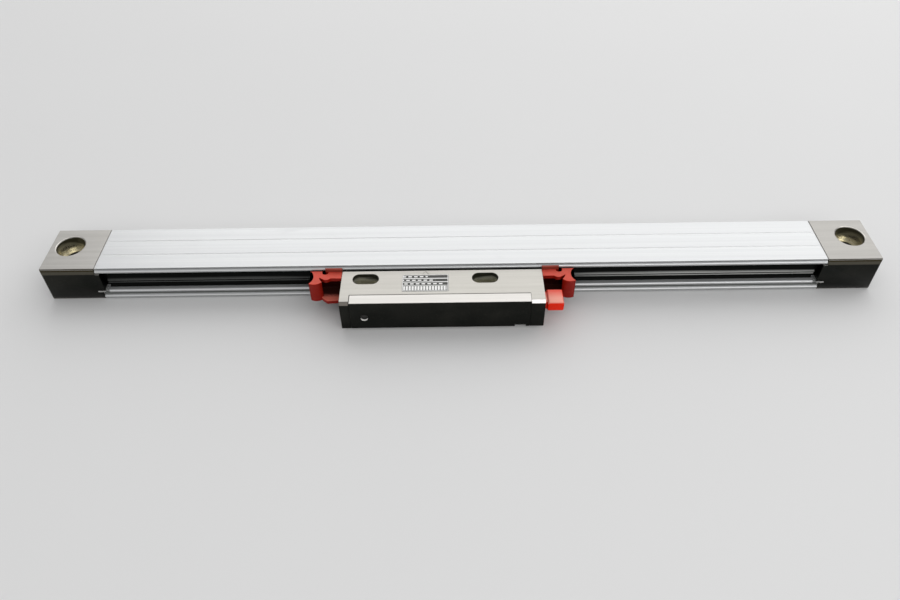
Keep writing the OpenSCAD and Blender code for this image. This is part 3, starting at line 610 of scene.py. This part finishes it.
@dataclass(frozen=True)
class GlintScrew(TurnedMetal):
    """Screw in a front face with a painted glint in a crescent along its lower edge.

    centre is its (x, z) and radius its head's radius, in millimetres. The crescent is
    what the head's circle has outside a second circle, moved by shift of the radius. It
    fades in between the two shares of the radius in fade.
    """

    centre: Pair = (0.0, 0.0)
    radius: float = 1.0
    shift: Pair = (0.04, 0.34)
    fade: Pair = (0.92, 1.04)
    # Colour of the painted glint.
    painted_highlight: Colour = (0.96, 0.95, 0.93)
    dulled: float = 0.2
    gloss: float = 0.1

    def material(self) -> Material:
        """Builds the screw's material.

        Returns:
            The finished material.
        """
        g = Graph(self.name)
        marks = g.noise(Grain.TURNED, detail=3.0, rough=0.6)
        x, z = (c + share * self.radius for c, share in zip(self.centre, self.shift))
        # A painted glint in a crescent along the lower edge of the head.
        crescent = distance(g.x - x, g.z - z).ramp(*(share * self.radius for share in self.fade))
        tone = g.mix(marks.ramp(*CRISP), self.dark, self.light)
        return g.surface(
            Base_Color=g.mix(crescent, tone, self.painted_highlight),
            Metallic=crescent,
            Roughness=marks.ramp(*SOFT, *self.roughness) + self.dulled,
            Specular_IOR_Level=self.gloss,
            Normal=g.bump(marks * self.mark_depth),
        )


@dataclass(frozen=True)
class MouldedPlastic:
    """Injection-moulded plastic with a fine spark-eroded skin and scuffed patches.

    The faces that look up carry a painted highlight, stronger towards the front over
    the y range of highlight_y. Steep faces carry painted shade by upright. Below the height
    pocket the painted highlight is stronger by pocket_highlight, and painted shade lies
    there, denser towards the back over the y range of pocket_y. Above the height crown
    the colour is darker and duller.
    """

    name: str
    colour: Colour
    deep: Colour
    scuff_and_highlight: Colour
    roughness: Pair = (0.38, 0.5)
    skin_depth: float = 0.012
    gloss: float = 0.5
    scuffed: Pair = (0.64, 0.74)
    scuff_share: float = 0.3
    level: Pair = (0.5, 0.95)
    steep: Pair = (0.6, 0.1)
    # bloom and its ranges set the painted highlight; upright and dirt set the painted shade.
    highlight_share: float = 0.1
    highlight_y: Pair = (1000.0, 999.0)
    back_highlight: float = 0.3
    upright_shade: float = 0.0
    pocket: float = -1000.0
    pocket_y: Pair = (0.0, 1.0)
    pocket_highlight: float = 0.0
    crown: float = 1000.0
    wander: float = 2.5
    painted_shade: Colour = (0.010, 0.0012, 0.0008)
    pocket_shade_share: float = 0.94
    crown_tone: Colour = (0.24, 0.052, 0.034)
    crown_share: float = 0.8

    def material(self) -> Material:
        """Builds the plastic's material.

        Returns:
            The finished material.
        """
        g = Graph(self.name)
        skin = g.noise(Grain.MOULDED, rough=0.6)
        flow = g.noise((0.25, 0.3, 0.3), shift=(3.0, 6.0, 8.0))
        patches = g.noise((0.9, 1.6, 1.6), detail=4.0, rough=0.7, shift=(9.0, 2.0, 4.0))
        worn = patches.ramp(*self.scuffed)
        upward = g.normal()[2]
        level = upward.ramp(*self.level)
        in_pocket = g.z < self.pocket
        tone = g.mix(flow.ramp(*SOFT), self.deep, self.colour)
        # Painted shade on steep faces.
        tone = g.mix(upward.ramp(*self.steep) * self.upright_shade, tone, self.painted_shade)
        # Painted highlight on faces that look up, stronger towards the front and below the pocket
        # height; the scuff colour serves for it and for the real scuffs.
        highlight_share = g.y.ramp(*self.highlight_y, self.back_highlight, 1.0) * self.highlight_share
        painted_lighting = level * (highlight_share + in_pocket * self.pocket_highlight)
        tone = g.mix(painted_lighting.most(worn * self.scuff_share), tone, self.scuff_and_highlight)
        # Painted shade below the pocket height, denser towards the back.
        pocket_shaded = in_pocket * (g.y + (patches - 0.5) * self.wander).ramp(*self.pocket_y)
        tone = g.mix(pocket_shaded * self.pocket_shade_share, tone, self.painted_shade)
        return g.surface(
            # Above the height crown the colour is darker and duller.
            Base_Color=g.mix((g.z > self.crown) * self.crown_share, tone, self.crown_tone),
            Roughness=skin.ramp(*SOFT, *self.roughness) + worn * 0.15,
            Specular_IOR_Level=self.gloss,
            Normal=g.bump(skin * self.skin_depth),
        )


@dataclass(frozen=True)
class BlackPlastic(MouldedPlastic):
    """Black housing plastic of a connector or a sensor."""

    colour: Colour = (0.03, 0.03, 0.034)
    deep: Colour = (0.02, 0.02, 0.024)
    scuff_and_highlight: Colour = (0.09, 0.09, 0.09)


@dataclass(frozen=True)
class DrawnRubber:
    """Drawn or moulded elastomer with a soft sheen and a little dust."""

    name: str
    colour: Colour = (0.022, 0.023, 0.024)
    dust: Colour = (0.16, 0.155, 0.145)
    roughness: Pair = (0.32, 0.46)
    sheen: float = 0.2
    dusted: Pair = (0.66, 0.8)
    dusting: float = 0.4

    def _tone(self, g: Graph) -> Paint:
        """Colour below the dust."""
        return self.colour

    def material(self) -> Material:
        """Builds the rubber's material.

        Returns:
            The finished material.
        """
        g = Graph(self.name)
        drawn = g.noise(Grain.DRAWN, detail=3.0)
        grain = g.noise((4.0, 4.0, 4.0), shift=(2.0, 2.0, 7.0))
        specks = g.noise((1.1, 1.4, 1.4), detail=4.0, rough=0.7, shift=(6.0, 1.0, 3.0))
        dusty = specks.ramp(*self.dusted)
        return g.surface(
            Base_Color=g.mix(dusty * self.dusting, self._tone(g), self.dust),
            Roughness=drawn.ramp(*SOFT, *self.roughness) + dusty * 0.2,
            Specular_IOR_Level=self.sheen,
            Normal=g.bump(drawn * 0.02 + grain * 0.006),
        )


@dataclass(frozen=True)
class SealLip(DrawnRubber):
    """Black lip with a painted highlight along it, near its tip.

    tip and root are heights in millimetres. The painted highlight lies between the two
    shares of rubbed, counted from the tip, and its borders fade over the ranges in
    borders, from none to full. The skin is lighter beyond root_share. The painted
    highlight is brighter towards the right end.
    """

    tip: float = 0.0
    root: float = 1.0
    painted_highlight: Pair = (-0.3, 0.1)
    borders: tuple[Pair, Pair] = ((-0.04, 0.06), (0.08, -0.06))
    root_share: float = 0.7
    # Colours of the painted highlight at the left and at the right end.
    sheen_tone: tuple[Colour, Colour] = ((0.085, 0.088, 0.085), (0.46, 0.465, 0.45))
    body: Colour = (0.004, 0.0045, 0.004)
    root_tone: Colour = (0.016, 0.017, 0.016)
    sheen_rise_x: Pair = (-40.0, 90.0)
    wander: float = 0.15
    sheen: float = 0.03
    dusting: float = 0.1

    def _tone(self, g: Graph) -> Paint:
        """Colour of the lip below the dust.

        Args:
            g: the material's graph.

        Returns:
            The skin with its rubbed line.
        """
        wander = (g.noise((0.02, 0.2, 0.2)) - 0.5) * self.wander
        share = (g.z - self.tip) / (self.root - self.tip) + wander
        # Painted highlight along the tip, between the two shares of rubbed.
        begun, not_over = (
            share.ramp(at + clear, at + full)
            for at, (clear, full) in zip(self.painted_highlight, self.borders)
        )
        # The painted highlight is brighter towards the right end.
        sheen_tone = g.mix(g.x.ramp(*self.sheen_rise_x), *self.sheen_tone)
        # The skin is lighter beyond root_share.
        skin = g.mix(share.ramp(self.root_share, 1.0), self.body, self.root_tone)
        return g.mix(begun * not_over, skin, sheen_tone)


@dataclass(frozen=True)
class GraduatedGlass:
    """Clear glass with a band of dark graduation lines.

    The band runs along the scale between two y values; period is one line and one gap.
    """

    name: str
    band: Pair
    period: float = 0.4
    tint: Colour = (0.80, 0.90, 0.88)
    chrome: Colour = (0.10, 0.11, 0.12)
    roughness: Pair = (0.02, 0.09)

    def material(self) -> Material:
        """Builds the glass's material.

        Returns:
            The finished material.
        """
        g = Graph(self.name)
        low, high = self.band
        in_band = (g.y > low) * (g.y < high)
        lines = (g.x.wrap(self.period) < self.period * 0.5) * in_band
        smear = g.noise((0.08, 0.5, 0.5), detail=3.0)
        return g.surface(
            Base_Color=g.mix(lines, self.tint, self.chrome),
            Roughness=smear.ramp(0.4, 0.75, *self.roughness) + lines * 0.1,
            Metallic=lines * 0.9,
            Transmission_Weight=0.85,
            IOR=1.51,
        )


@dataclass(frozen=True)
class CircuitBoard:
    """Green solder resist over bent copper tracks, each given as (pitch, width)."""

    resist: Colour = (0.02, 0.16, 0.07)
    over_copper: Colour = (0.05, 0.30, 0.13)
    upright_tracks: Pair = (0.9, 0.35)
    level_tracks: Pair = (1.3, 0.3)
    roughness: Pair = (0.28, 0.4)
    copper_t: float = 0.03

    def material(self) -> Material:
        """Builds the board's material.

        Returns:
            The finished material.
        """
        g = Graph("circuit_board")
        bent = g.noise((0.3, 0.3, 0.3), detail=0.0).ramp(*SOFT, -1.0, 1.0)
        pitch, width = self.upright_tracks
        across = (g.x + bent * 2.0).wrap(pitch) < width
        pitch, width = self.level_tracks
        tracks = across.most((g.z + g.y + bent).wrap(pitch) < width)
        skin = g.noise((3.0, 3.0, 3.0))
        return g.surface(
            Base_Color=g.mix(tracks, self.resist, self.over_copper),
            Roughness=skin.ramp(*SOFT, *self.roughness),
            Normal=g.bump(tracks * self.copper_t),
        )


@dataclass(frozen=True)
class BarredFoil:
    """Silver foil with plain printed bars, dashes and a row of scale ticks.

    The origin of the pattern is the foil's middle; its rows are given from back to front
    as (middle, half height) in millimetres.
    """

    centre: Pair
    half_length: float
    foil: Colour = (0.97, 0.97, 0.95)
    ink: Colour = (0.055, 0.055, 0.05)
    ink_t: float = 0.01
    border: float = 0.25
    dark_rows: tuple[Pair, ...] = ((3.6, 0.83), (1.52, 0.79), (-0.56, 0.83))
    dash_pitch: float = 2.4
    dash_share: float = 0.62
    dash_height: float = 0.42
    dash_shift: float = 0.8
    dash_ends: Pair = (0.1, 0.33)
    tick_row: Pair = (-3.05, 1.4)
    tick_pitch: float = 1.2
    tick_width: float = 0.32
    rim: float = 0.22
    worn: Pair = (0.66, 0.76)

    def _printed(self, g: Graph) -> Value:
        """Works out the printed pattern.

        Args:
            g: the material's graph.

        Returns:
            1 under ink: the dark rows with their pale dashes, and the framed ticks.
        """
        u, v = g.x - self.centre[0], g.y - self.centre[1]
        in_border = u.abs() < self.half_length - self.border
        middle, half = self.tick_row
        ticks = (u + self.half_length).wrap(self.tick_pitch) < self.tick_width
        sides = u.abs() > self.half_length - self.border - self.rim
        framed = ((v - middle).abs() > half - self.rim).most(sides)
        printed = ((v - middle).abs() < half) * in_border * ticks.most(framed)
        for index, (middle, half) in enumerate(self.dark_rows):
            row = (v - middle).abs() < half
            thin = (v - middle).abs() < half * self.dash_height
            along = (u + self.half_length + index * self.dash_shift).wrap(self.dash_pitch)
            dashes = along < self.dash_pitch * self.dash_share
            first_end, further = self.dash_ends
            short = u < self.half_length * (first_end + further * index)
            printed = printed + row * in_border * (1.0 - thin * dashes * short)
        return printed

    def material(self) -> Material:
        """Builds the foil's material.

        Returns:
            The finished material.
        """
        g = Graph("label_film")
        printed = self._printed(g)
        worn = g.noise((1.5, 1.5, 1.5), detail=4.0, rough=0.7).ramp(*self.worn)
        grain = g.noise(Grain.ROLLED)
        foil = g.mix(grain.ramp(*CRISP), tuple(0.86 * c for c in self.foil), self.foil)
        return g.surface(
            Base_Color=g.mix(printed * (1.0 - worn * 0.6), foil, self.ink),
            Metallic=0.1,
            Roughness=grain.ramp(*SOFT, 0.34, 0.44) + printed * 0.08,
            Normal=g.bump(printed * self.ink_t),
        )


@dataclass(frozen=True)
class PlainFloor:
    """Matt pale surface with hardly visible mottling."""

    colour: Colour = (0.80, 0.80, 0.80)
    mottled: float = 0.985

    def material(self) -> Material:
        """Builds the floor's material.

        Returns:
            The finished material.
        """
        g = Graph("floor")
        mottle = g.noise((0.01, 0.01, 0.01))
        shade = tuple(self.mottled * c for c in self.colour)
        return g.surface(
            Base_Color=g.mix(mottle, shade, self.colour),
            Roughness=0.9,
            Specular_IOR_Level=0.1,
        )


# ---- Meshes ----


class MeshTools:
    """Makes finished pieces from the frame's nodes."""

    MERGE = 2e-6
    FLAT = math.radians(0.6)
    SHARP = math.radians(33.0)
    SEGMENTS = 2

    @classmethod
    def eased_copy(cls, node: str, ease_mm: float) -> bpy.types.Object:
        """Copies a node and breaks its sharp edges with a small round.

        Args:
            node: the CAD node.
            ease_mm: width of the edge break.

        Returns:
            The new piece, which replaces the node and rides on its body.
        """
        source = frame["nodes"][node]
        count = len(source.data.vertices)
        places = np.empty(count * 3, np.float32)
        source.data.vertices.foreach_get("co", places)
        faces = [tuple(p.vertices) for p in source.data.polygons]
        mesh = bpy.data.meshes.new(f"{node}_eased")
        mesh.from_pydata(places.reshape(-1, 3), [], faces)
        cls._clean(mesh)
        mesh.shade_smooth()
        piece = add_object(f"{node}_eased", mesh)
        bevel = piece.modifiers.new("edge_break", "BEVEL")
        bevel.width = ease_mm * MM
        bevel.segments = cls.SEGMENTS
        bevel.limit_method = "ANGLE"
        bevel.angle_limit = cls.SHARP
        bevel.use_clamp_overlap = False
        bevel.harden_normals = True
        bevel.miter_outer = "MITER_ARC"
        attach(piece, source["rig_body"])
        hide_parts(node)
        return piece

    @classmethod
    def _clean(cls, mesh: bpy.types.Mesh) -> None:
        """Merges doubled corners and joins the triangles of flat faces.

        Args:
            mesh: the mesh to clean.
        """
        work = bmesh.new()
        work.from_mesh(mesh)
        bmesh.ops.remove_doubles(work, verts=work.verts, dist=cls.MERGE)
        bmesh.ops.dissolve_limit(work, angle_limit=cls.FLAT, verts=work.verts, edges=work.edges)
        work.to_mesh(mesh)
        work.free()


def add_object(name: str, data: bpy.types.ID) -> bpy.types.Object:
    """Puts a new object into the scene.

    Args:
        name: the object's name.
        data: its mesh, light or camera.

    Returns:
        The object.
    """
    made = bpy.data.objects.new(name, data)
    bpy.context.scene.collection.objects.link(made)
    return made


def paint(piece: bpy.types.Object, material: Material) -> None:
    """Puts one material on every slot of a piece, and makes a slot where it has none.

    Args:
        piece: the piece.
        material: its material.
    """
    if not piece.material_slots:
        piece.data.materials.append(material)
    for slot in piece.material_slots:
        slot.material = material


def named(rows: list[dict], key: str, name: str) -> dict:
    """The first row of the record whose key holds the name."""
    return next(row for row in rows if row[key] == name)


def box_mm(node: str) -> tuple[Vector, Vector]:
    """Low and high corner of a node's box, in millimetres."""
    low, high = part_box(node)
    return low / MM, high / MM


# ---- Sub-assemblies ----


@dataclass
class SubAssembly:
    """A group of nodes that is built and dressed together.

    Args:
        name: what the log calls the group.
        eased: nodes with the width of their edge break, in millimetres.
        plain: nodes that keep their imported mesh.
        pieces: node to its finished piece.
    """

    name: str
    eased: Eased = ()
    plain: Names = ()
    pieces: dict[str, bpy.types.Object] = field(default_factory=dict)

    def build(self) -> None:
        """Makes the eased copies and collects the plain nodes."""
        for node, ease in self.eased:
            piece = MeshTools.eased_copy(node, ease)
            self.pieces[node] = piece
            LOG.info("%s: %s with %.2f mm edge breaks", self.name, node, ease)
        for node in self.plain:
            self.pieces[node] = frame["nodes"][node]
            LOG.info("%s: %s as packed", self.name, node)

    def finishes(self) -> dict[str, Finish]:
        """Each node's finish, which every sub-assembly gives for its own nodes."""
        raise NotImplementedError

    def dress(self) -> None:
        """Paints every piece of the group, with one material for equal finishes."""
        materials: dict[Finish, Material] = {}
        for node, finish in self.finishes().items():
            if finish not in materials:
                materials[finish] = finish.material()
            paint(self.pieces[node], materials[finish])


@dataclass
class Housing(SubAssembly):
    """Extrusion, end blocks and what closes them."""

    name: str = "housing"
    eased: Eased = (("scale_housing", 0.08), ("end_block_left", 0.16), ("end_block_right", 0.16))
    plain: Names = ("end_gaskets", "end_block_screws", "air_port_plugs", "lip_clamps")
    counterbore_r: float = 6.0
    hole_shade_r: float = 4.2
    bevel_height: float = 2.7
    hole_line_y: float = 0.0

    def _end_steel(self, side: str, light: Colour, dark: Colour) -> Finish:
        """Ground steel of one end block, with its bore and its band of painted light and shade.

        Args:
            side: left or right.
            light: its light tone.
            dark: its dark tone.

        Returns:
            The block's finish.
        """
        high = box_mm(f"end_block_{side}")[1]
        holes = named(frame["record"]["mounts"], "name", "scale_fixing_holes")
        hole_x = math.copysign(holes["dims"]["spacing_x_mm"] / 2, high.x)
        # The bore's walls, floor, hole and rim carry painted light and shade.
        bore = ShadedBores(
            ((hole_x, self.hole_line_y, self.counterbore_r),),
            light=(0.62, 0.57, 0.40), shade=(0.035, 0.032, 0.016), lit_depths=(3.0, 5.6),
            lean=0.32, hole_shade_radius=self.hole_shade_r, rim=0.45,
        )
        # Painted shade and a painted highlight in a band below the top edge.
        band = LitLedgeBand(high.z - self.bevel_height)
        return GroundSteel(f"{side}_end_steel", light, dark, top=high.z, bores=bore, band=band)

    def finishes(self) -> dict[str, Finish]:
        """Drawn aluminium, ground steel ends, rubber gaskets and dark screws.

        Returns:
            Node to finish.
        """
        dark = TurnedMetal("dark_steel", (0.16, 0.16, 0.165), (0.07, 0.07, 0.075))
        return {
            "scale_housing": DrawnAluminium(box_mm("scale_housing")[1].z),
            "end_block_left": self._end_steel("left", (0.56, 0.545, 0.52), (0.44, 0.428, 0.40)),
            "end_block_right": self._end_steel("right", (0.44, 0.428, 0.405), (0.34, 0.33, 0.31)),
            "end_gaskets": DrawnRubber("grey_gasket", (0.42, 0.41, 0.39), (0.5, 0.49, 0.47)),
            "end_block_screws": dark,
            "air_port_plugs": dark,
            "lip_clamps": TurnedMetal("bright_steel", (0.75, 0.75, 0.74), (0.55, 0.55, 0.54)),
        }


@dataclass
class Seals(SubAssembly):
    """The two sealing lips that close the slot."""

    name: str = "seals"
    plain: Names = ("upper_sealing_lip", "lower_sealing_lip")
    lower_highlight: Pair = (-0.3, 0.07)

    def finishes(self) -> dict[str, Finish]:
        """Drawn rubber on both lips, each with a painted highlight along its own tip.

        Returns:
            Node to finish.
        """
        upper, lower = self.plain
        high, low = box_mm(upper), box_mm(lower)
        return {
            upper: SealLip("upper_lip_rubber", tip=high[0].z, root=high[1].z),
            lower: SealLip(
                "lower_lip_rubber", tip=low[1].z, root=low[0].z, painted_highlight=self.lower_highlight
            ),
        }


@dataclass
class Glass(SubAssembly):
    """The graduated glass and the bond that holds it."""

    name: str = "glass"
    plain: Names = ("glass_scale", "scale_bond")
    band_from_edge: Pair = (1.2, 6.2)

    def finishes(self) -> dict[str, Finish]:
        """Graduated glass in a dark elastic bond.

        Returns:
            Node to finish.
        """
        edge = box_mm("glass_scale")[0].y
        band = tuple(edge + d for d in self.band_from_edge)
        return {
            "glass_scale": GraduatedGlass("scale_glass", band),
            "scale_bond": DrawnRubber("bond_rubber"),
        }


@dataclass
class Carriage(SubAssembly):
    """Scanning carriage inside the housing: yoke, bearings, optics and coupling."""

    name: str = "carriage"
    bearings: Names = (
        "face_bearing_left", "face_bearing_right", "face_bearing_middle",
        "edge_bearing_left", "edge_bearing_right", "bearing_inner_rings",
    )
    bright: Names = ("bearing_pins", "coupling_bracket", "coupling_blade")
    brass: Names = ("light_source", "coupling_spring")
    optics: Names = ("condenser_lens", "scanning_reticle")
    single: Names = ("scanning_yoke", "sensor_board", "photo_sensor")
    grating_inset: float = 1.2
    grating_period: float = 0.8

    def __post_init__(self) -> None:
        """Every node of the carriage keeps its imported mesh."""
        self.plain = self.single + self.bearings + self.bright + self.brass + self.optics

    def finishes(self) -> dict[str, Finish]:
        """Moulded yoke, bright steel, brass and optical glass.

        Returns:
            Node to finish.
        """
        low, high = box_mm("scanning_reticle")
        grating = (low.y + self.grating_inset, high.y - self.grating_inset)
        groups = (
            (self.bearings, TurnedMetal("bearing_steel", (0.78, 0.79, 0.80), (0.6, 0.61, 0.62),
                                        roughness=(0.1, 0.2))),
            (self.bright, TurnedMetal("carriage_steel", (0.74, 0.74, 0.73), (0.55, 0.55, 0.54))),
            (self.brass, TurnedMetal("brass", (0.78, 0.58, 0.27), (0.55, 0.38, 0.16))),
            (self.optics, GraduatedGlass("optical_glass", grating, self.grating_period)),
            (("scanning_yoke",), MouldedPlastic("grey_plastic", (0.22, 0.24, 0.27),
                                                (0.17, 0.19, 0.21), (0.35, 0.36, 0.38))),
            (("photo_sensor",), BlackPlastic("sensor_plastic")),
            (("sensor_board",), CircuitBoard()),
        )
        return {node: finish for nodes, finish in groups for node in nodes}


@dataclass
class MountingBlock(SubAssembly):
    """Block outside the housing, with its cover, label and board."""

    name: str = "mounting block"
    eased: Eased = (("mounting_block", 0.14), ("block_cover", 0.1), ("cover_screw", 0.12))
    plain: Names = ("label_plate", "cover_gasket", "interface_board")
    seam_width: float = 0.3
    slot_reach: float = 0.1

    def _slots(self) -> tuple[Triple, ...]:
        """Both slots as bores that reach just past their ends.

        Returns:
            Each slot's x, y and radius.
        """
        slots = named(frame["record"]["mounts"], "name", "carriage_slots")
        half = slots["dims"]["spacing_x_mm"] / 2
        x, y = slots["pos_m"][0] / MM, slots["pos_m"][1] / MM
        radius = slots["dims"]["slot_length_mm"] / 2 + self.slot_reach
        return ((x - half, y, radius), (x + half, y, radius))

    def finishes(self) -> dict[str, Finish]:
        """Ground steel block and cover, printed foil, rubber and a screw with painted shade and
        glint.

        Returns:
            Node to finish.
        """
        cover_low, cover_high = box_mm("block_cover")
        low, high = box_mm("label_plate")
        centre = (low + high) / 2
        head_low, head_high = box_mm("cover_screw")
        head = (head_low + head_high) / 2
        # The slots' walls carry painted shade near the top and painted light further down.
        slots = ShadedBores(
            self._slots(), light=(0.92, 0.90, 0.76), shade=(0.020, 0.020, 0.012),
            lit_depths=(1.9, 4.3), lean=0.1,
        )
        return {
            "mounting_block": GroundSteel(
                "block_metal", light=(0.545, 0.53, 0.49), dark=(0.45, 0.435, 0.40),
                top=box_mm("mounting_block")[1].z, bores=slots,
                bevel_x=(cover_low.x, cover_high.x),
            ),
            "block_cover": GroundSteel(
                "cover_metal", light=(0.70, 0.68, 0.65), dark=(0.56, 0.545, 0.515),
                roughness=(0.3, 0.42), seam=(cover_low.x, cover_high.y, self.seam_width),
            ),
            "label_plate": BarredFoil((centre.x, centre.y), (high.x - low.x) / 2),
            "cover_gasket": DrawnRubber("gasket_rubber"),
            # The screw's head is painted near black as shade, with a painted glint.
            "cover_screw": GlintScrew(
                "screw_steel", light=(0.05, 0.05, 0.047), dark=(0.018, 0.018, 0.017),
                centre=(head.x, head.z), radius=(head_high.x - head_low.x) / 2,
            ),
            "interface_board": CircuitBoard(),
        }


@dataclass
class Connector(SubAssembly):
    """Socket in the block's end, with its contacts and dust cap."""

    name: str = "connector"
    eased: Eased = (("connector_cap", 0.4),)
    plain: Names = ("connector_socket", "connector_pins")
    highlight_from_front: Pair = (7.0, 3.0)

    def finishes(self) -> dict[str, Finish]:
        """Black socket, gilded contacts and an orange-red cap with a painted highlight.

        Returns:
            Node to finish.
        """
        front = box_mm("connector_cap")[0].y
        # The cap's top carries a painted highlight towards its front.
        red = MouldedPlastic(
            "cap_red", (0.90, 0.020, 0.0), (0.80, 0.016, 0.0), (1.0, 0.62, 0.50),
            roughness=(0.26, 0.36), skin_depth=0.008, gloss=0.12, highlight_share=0.62,
            highlight_y=tuple(front + d for d in self.highlight_from_front),
        )
        return {
            "connector_socket": BlackPlastic("black_plastic"),
            "connector_pins": TurnedMetal("contact_brass", (0.85, 0.66, 0.3), (0.7, 0.5, 0.2)),
            "connector_cap": red,
        }


@dataclass
class ShippingBraces(SubAssembly):
    """Red moulded braces that hold the block while it travels.

    Their arms are arm_t thick and their upper faces lie arm_drop below the block's top.
    """

    name: str = "shipping braces"
    eased: Eased = (("shipping_brace_left", 0.2), ("shipping_brace_right", 0.2))
    arm_drop: float = 0.5
    arm_t: float = 1.85
    crown_rise: float = 0.25
    pocket_shade_from_back: Pair = (7.2, 5.2)

    def finishes(self) -> dict[str, Finish]:
        """Satin red plastic on both braces, with painted highlight and painted shade.

        Returns:
            Node to finish.
        """
        arms_z = box_mm("mounting_block")[1].z - self.arm_drop
        back = box_mm("shipping_brace_left")[1].y
        # Painted highlight on faces that look up, painted shade on steep faces and in the pockets.
        red = MouldedPlastic(
            "brace_red", (0.66, 0.020, 0.006), (0.52, 0.015, 0.004), (0.90, 0.34, 0.25),
            roughness=(0.34, 0.46), gloss=0.15, highlight_share=0.25, upright_shade=0.55,
            pocket=arms_z - self.arm_t, pocket_highlight=0.3,
            pocket_y=tuple(back - d for d in self.pocket_shade_from_back),
            crown=arms_z + self.crown_rise,
        )
        return {node: red for node, _ in self.eased}


# ---- Studio ----


@dataclass(frozen=True)
class Softbox:
    """Rectangular soft light that faces the object, in metres; radiance 1 shows white."""

    name: str
    place: Triple
    size: Pair
    radiance: float

    def build(self) -> None:
        """Adds the light, unseen by the camera."""
        width, height = self.size
        data = bpy.data.lights.new(self.name, "AREA")
        data.shape = "RECTANGLE"
        data.size = width
        data.size_y = height
        data.energy = self.radiance * math.pi * width * height
        lamp = add_object(self.name, data)
        lamp.location = self.place
        lamp.rotation_euler = (-Vector(self.place)).to_track_quat("-Z", "Y").to_euler()
        lamp.visible_camera = False


@dataclass
class Studio:
    """Floor, soft light and camera. Lengths are in metres, angles in degrees."""

    eye: Triple = (-0.00494, -0.24606, 0.24230)
    look_down: float = 43.01
    turn: float = 0.07
    tilt: float = -0.71
    lens: float = 30.44
    sensor: float = 36.0
    raise_view: float = -0.0556
    floor_half: float = 6.0
    floor_cells: int = 8
    fill: float = 0.5
    horizon: Colour = (0.80, 0.80, 0.80)
    zenith: Colour = (0.28, 0.28, 0.29)
    sky_rise: Pair = (0.3, 0.9)
    lights: tuple[Softbox, ...] = (
        Softbox("back_key", (0.38, 0.85, 0.80), (2.6, 1.5), 1.02),
        Softbox("front_strip", (0.5, -0.82, 0.72), (1.3, 0.22), 3.4),
    )

    def build(self) -> None:
        """Makes the stage."""
        self._floor()
        for light in self.lights:
            light.build()
        self._world()
        self._camera()

    def _floor(self) -> None:
        """Square sheet under the object, as a grid of two parameters at z = 0."""
        cells = self.floor_cells
        side = np.linspace(-self.floor_half, self.floor_half, cells + 1)
        u, v = np.meshgrid(side, side, indexing="ij")
        places = np.stack([u.ravel(), v.ravel(), np.zeros(u.size)], axis=1)
        row, col = np.meshgrid(np.arange(cells), np.arange(cells), indexing="ij")
        first = (row * (cells + 1) + col).ravel()
        quads = np.stack([first, first + cells + 1, first + cells + 2, first + 1], axis=1)
        mesh = bpy.data.meshes.new("floor")
        mesh.from_pydata(places, [], quads.tolist())
        floor = add_object("floor", mesh)
        paint(floor, PlainFloor().material())

    def _world(self) -> None:
        """Pale horizon under a darker ceiling for the eye, for reflections and through
        glass, and a low even fill for the rest."""
        world = bpy.data.worlds.new("studio")
        bpy.context.scene.world = world
        g = NodeGraph(world)
        seen = g.node("ShaderNodeLightPath", output="Is Camera Ray")
        for ray in ("Is Glossy Ray", "Is Transmission Ray"):
            seen = seen.most(g.node("ShaderNodeLightPath", output=ray))
        _, _, height = g.split(g.node("ShaderNodeTexCoord", output="Generated"))
        sky = g.mix(height.ramp(*self.sky_rise), self.horizon, self.zenith)
        shown = g.node("ShaderNodeBackground", inputs={"Color": sky})
        even = g.node("ShaderNodeBackground", inputs={"Color": opaque((self.fill,) * 3)})
        both = g.node("ShaderNodeMixShader", inputs={0: seen, 1: even, 2: shown})
        g.end("ShaderNodeOutputWorld", both)

    def _camera(self) -> None:
        """Camera that looks down on the slot side, a little rolled."""
        down = math.radians(self.look_down)
        roll = math.radians(self.tilt)
        yaw = math.radians(self.turn)
        level = Vector((math.cos(yaw), -math.sin(yaw), 0.0))
        away = Vector((math.sin(yaw), math.cos(yaw), 0.0))
        ahead = away * math.cos(down) - Vector((0.0, 0.0, math.sin(down)))
        right = level * math.cos(roll) + level.cross(ahead) * math.sin(roll)
        up = right.cross(ahead)
        axes = Matrix((right, up, -ahead)).transposed().to_4x4()
        data = bpy.data.cameras.new("camera")
        data.lens = self.lens
        data.sensor_width = self.sensor
        data.shift_y = self.raise_view
        camera = add_object("camera", data)
        camera.matrix_world = Matrix.Translation(self.eye) @ axes
        bpy.context.scene.camera = camera


def main() -> None:
    """Builds and dresses the encoder, then the studio."""
    logging.basicConfig(level=logging.INFO, format="%(name)s %(message)s")
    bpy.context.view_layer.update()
    groups = (Housing(), Seals(), Glass(), Carriage(), MountingBlock(), Connector(),
              ShippingBraces())
    for group in groups:
        group.build()
        group.dress()
    Studio().build()
    bpy.context.scene.view_settings.view_transform = "Standard"


if __name__ == "__main__":
    main()
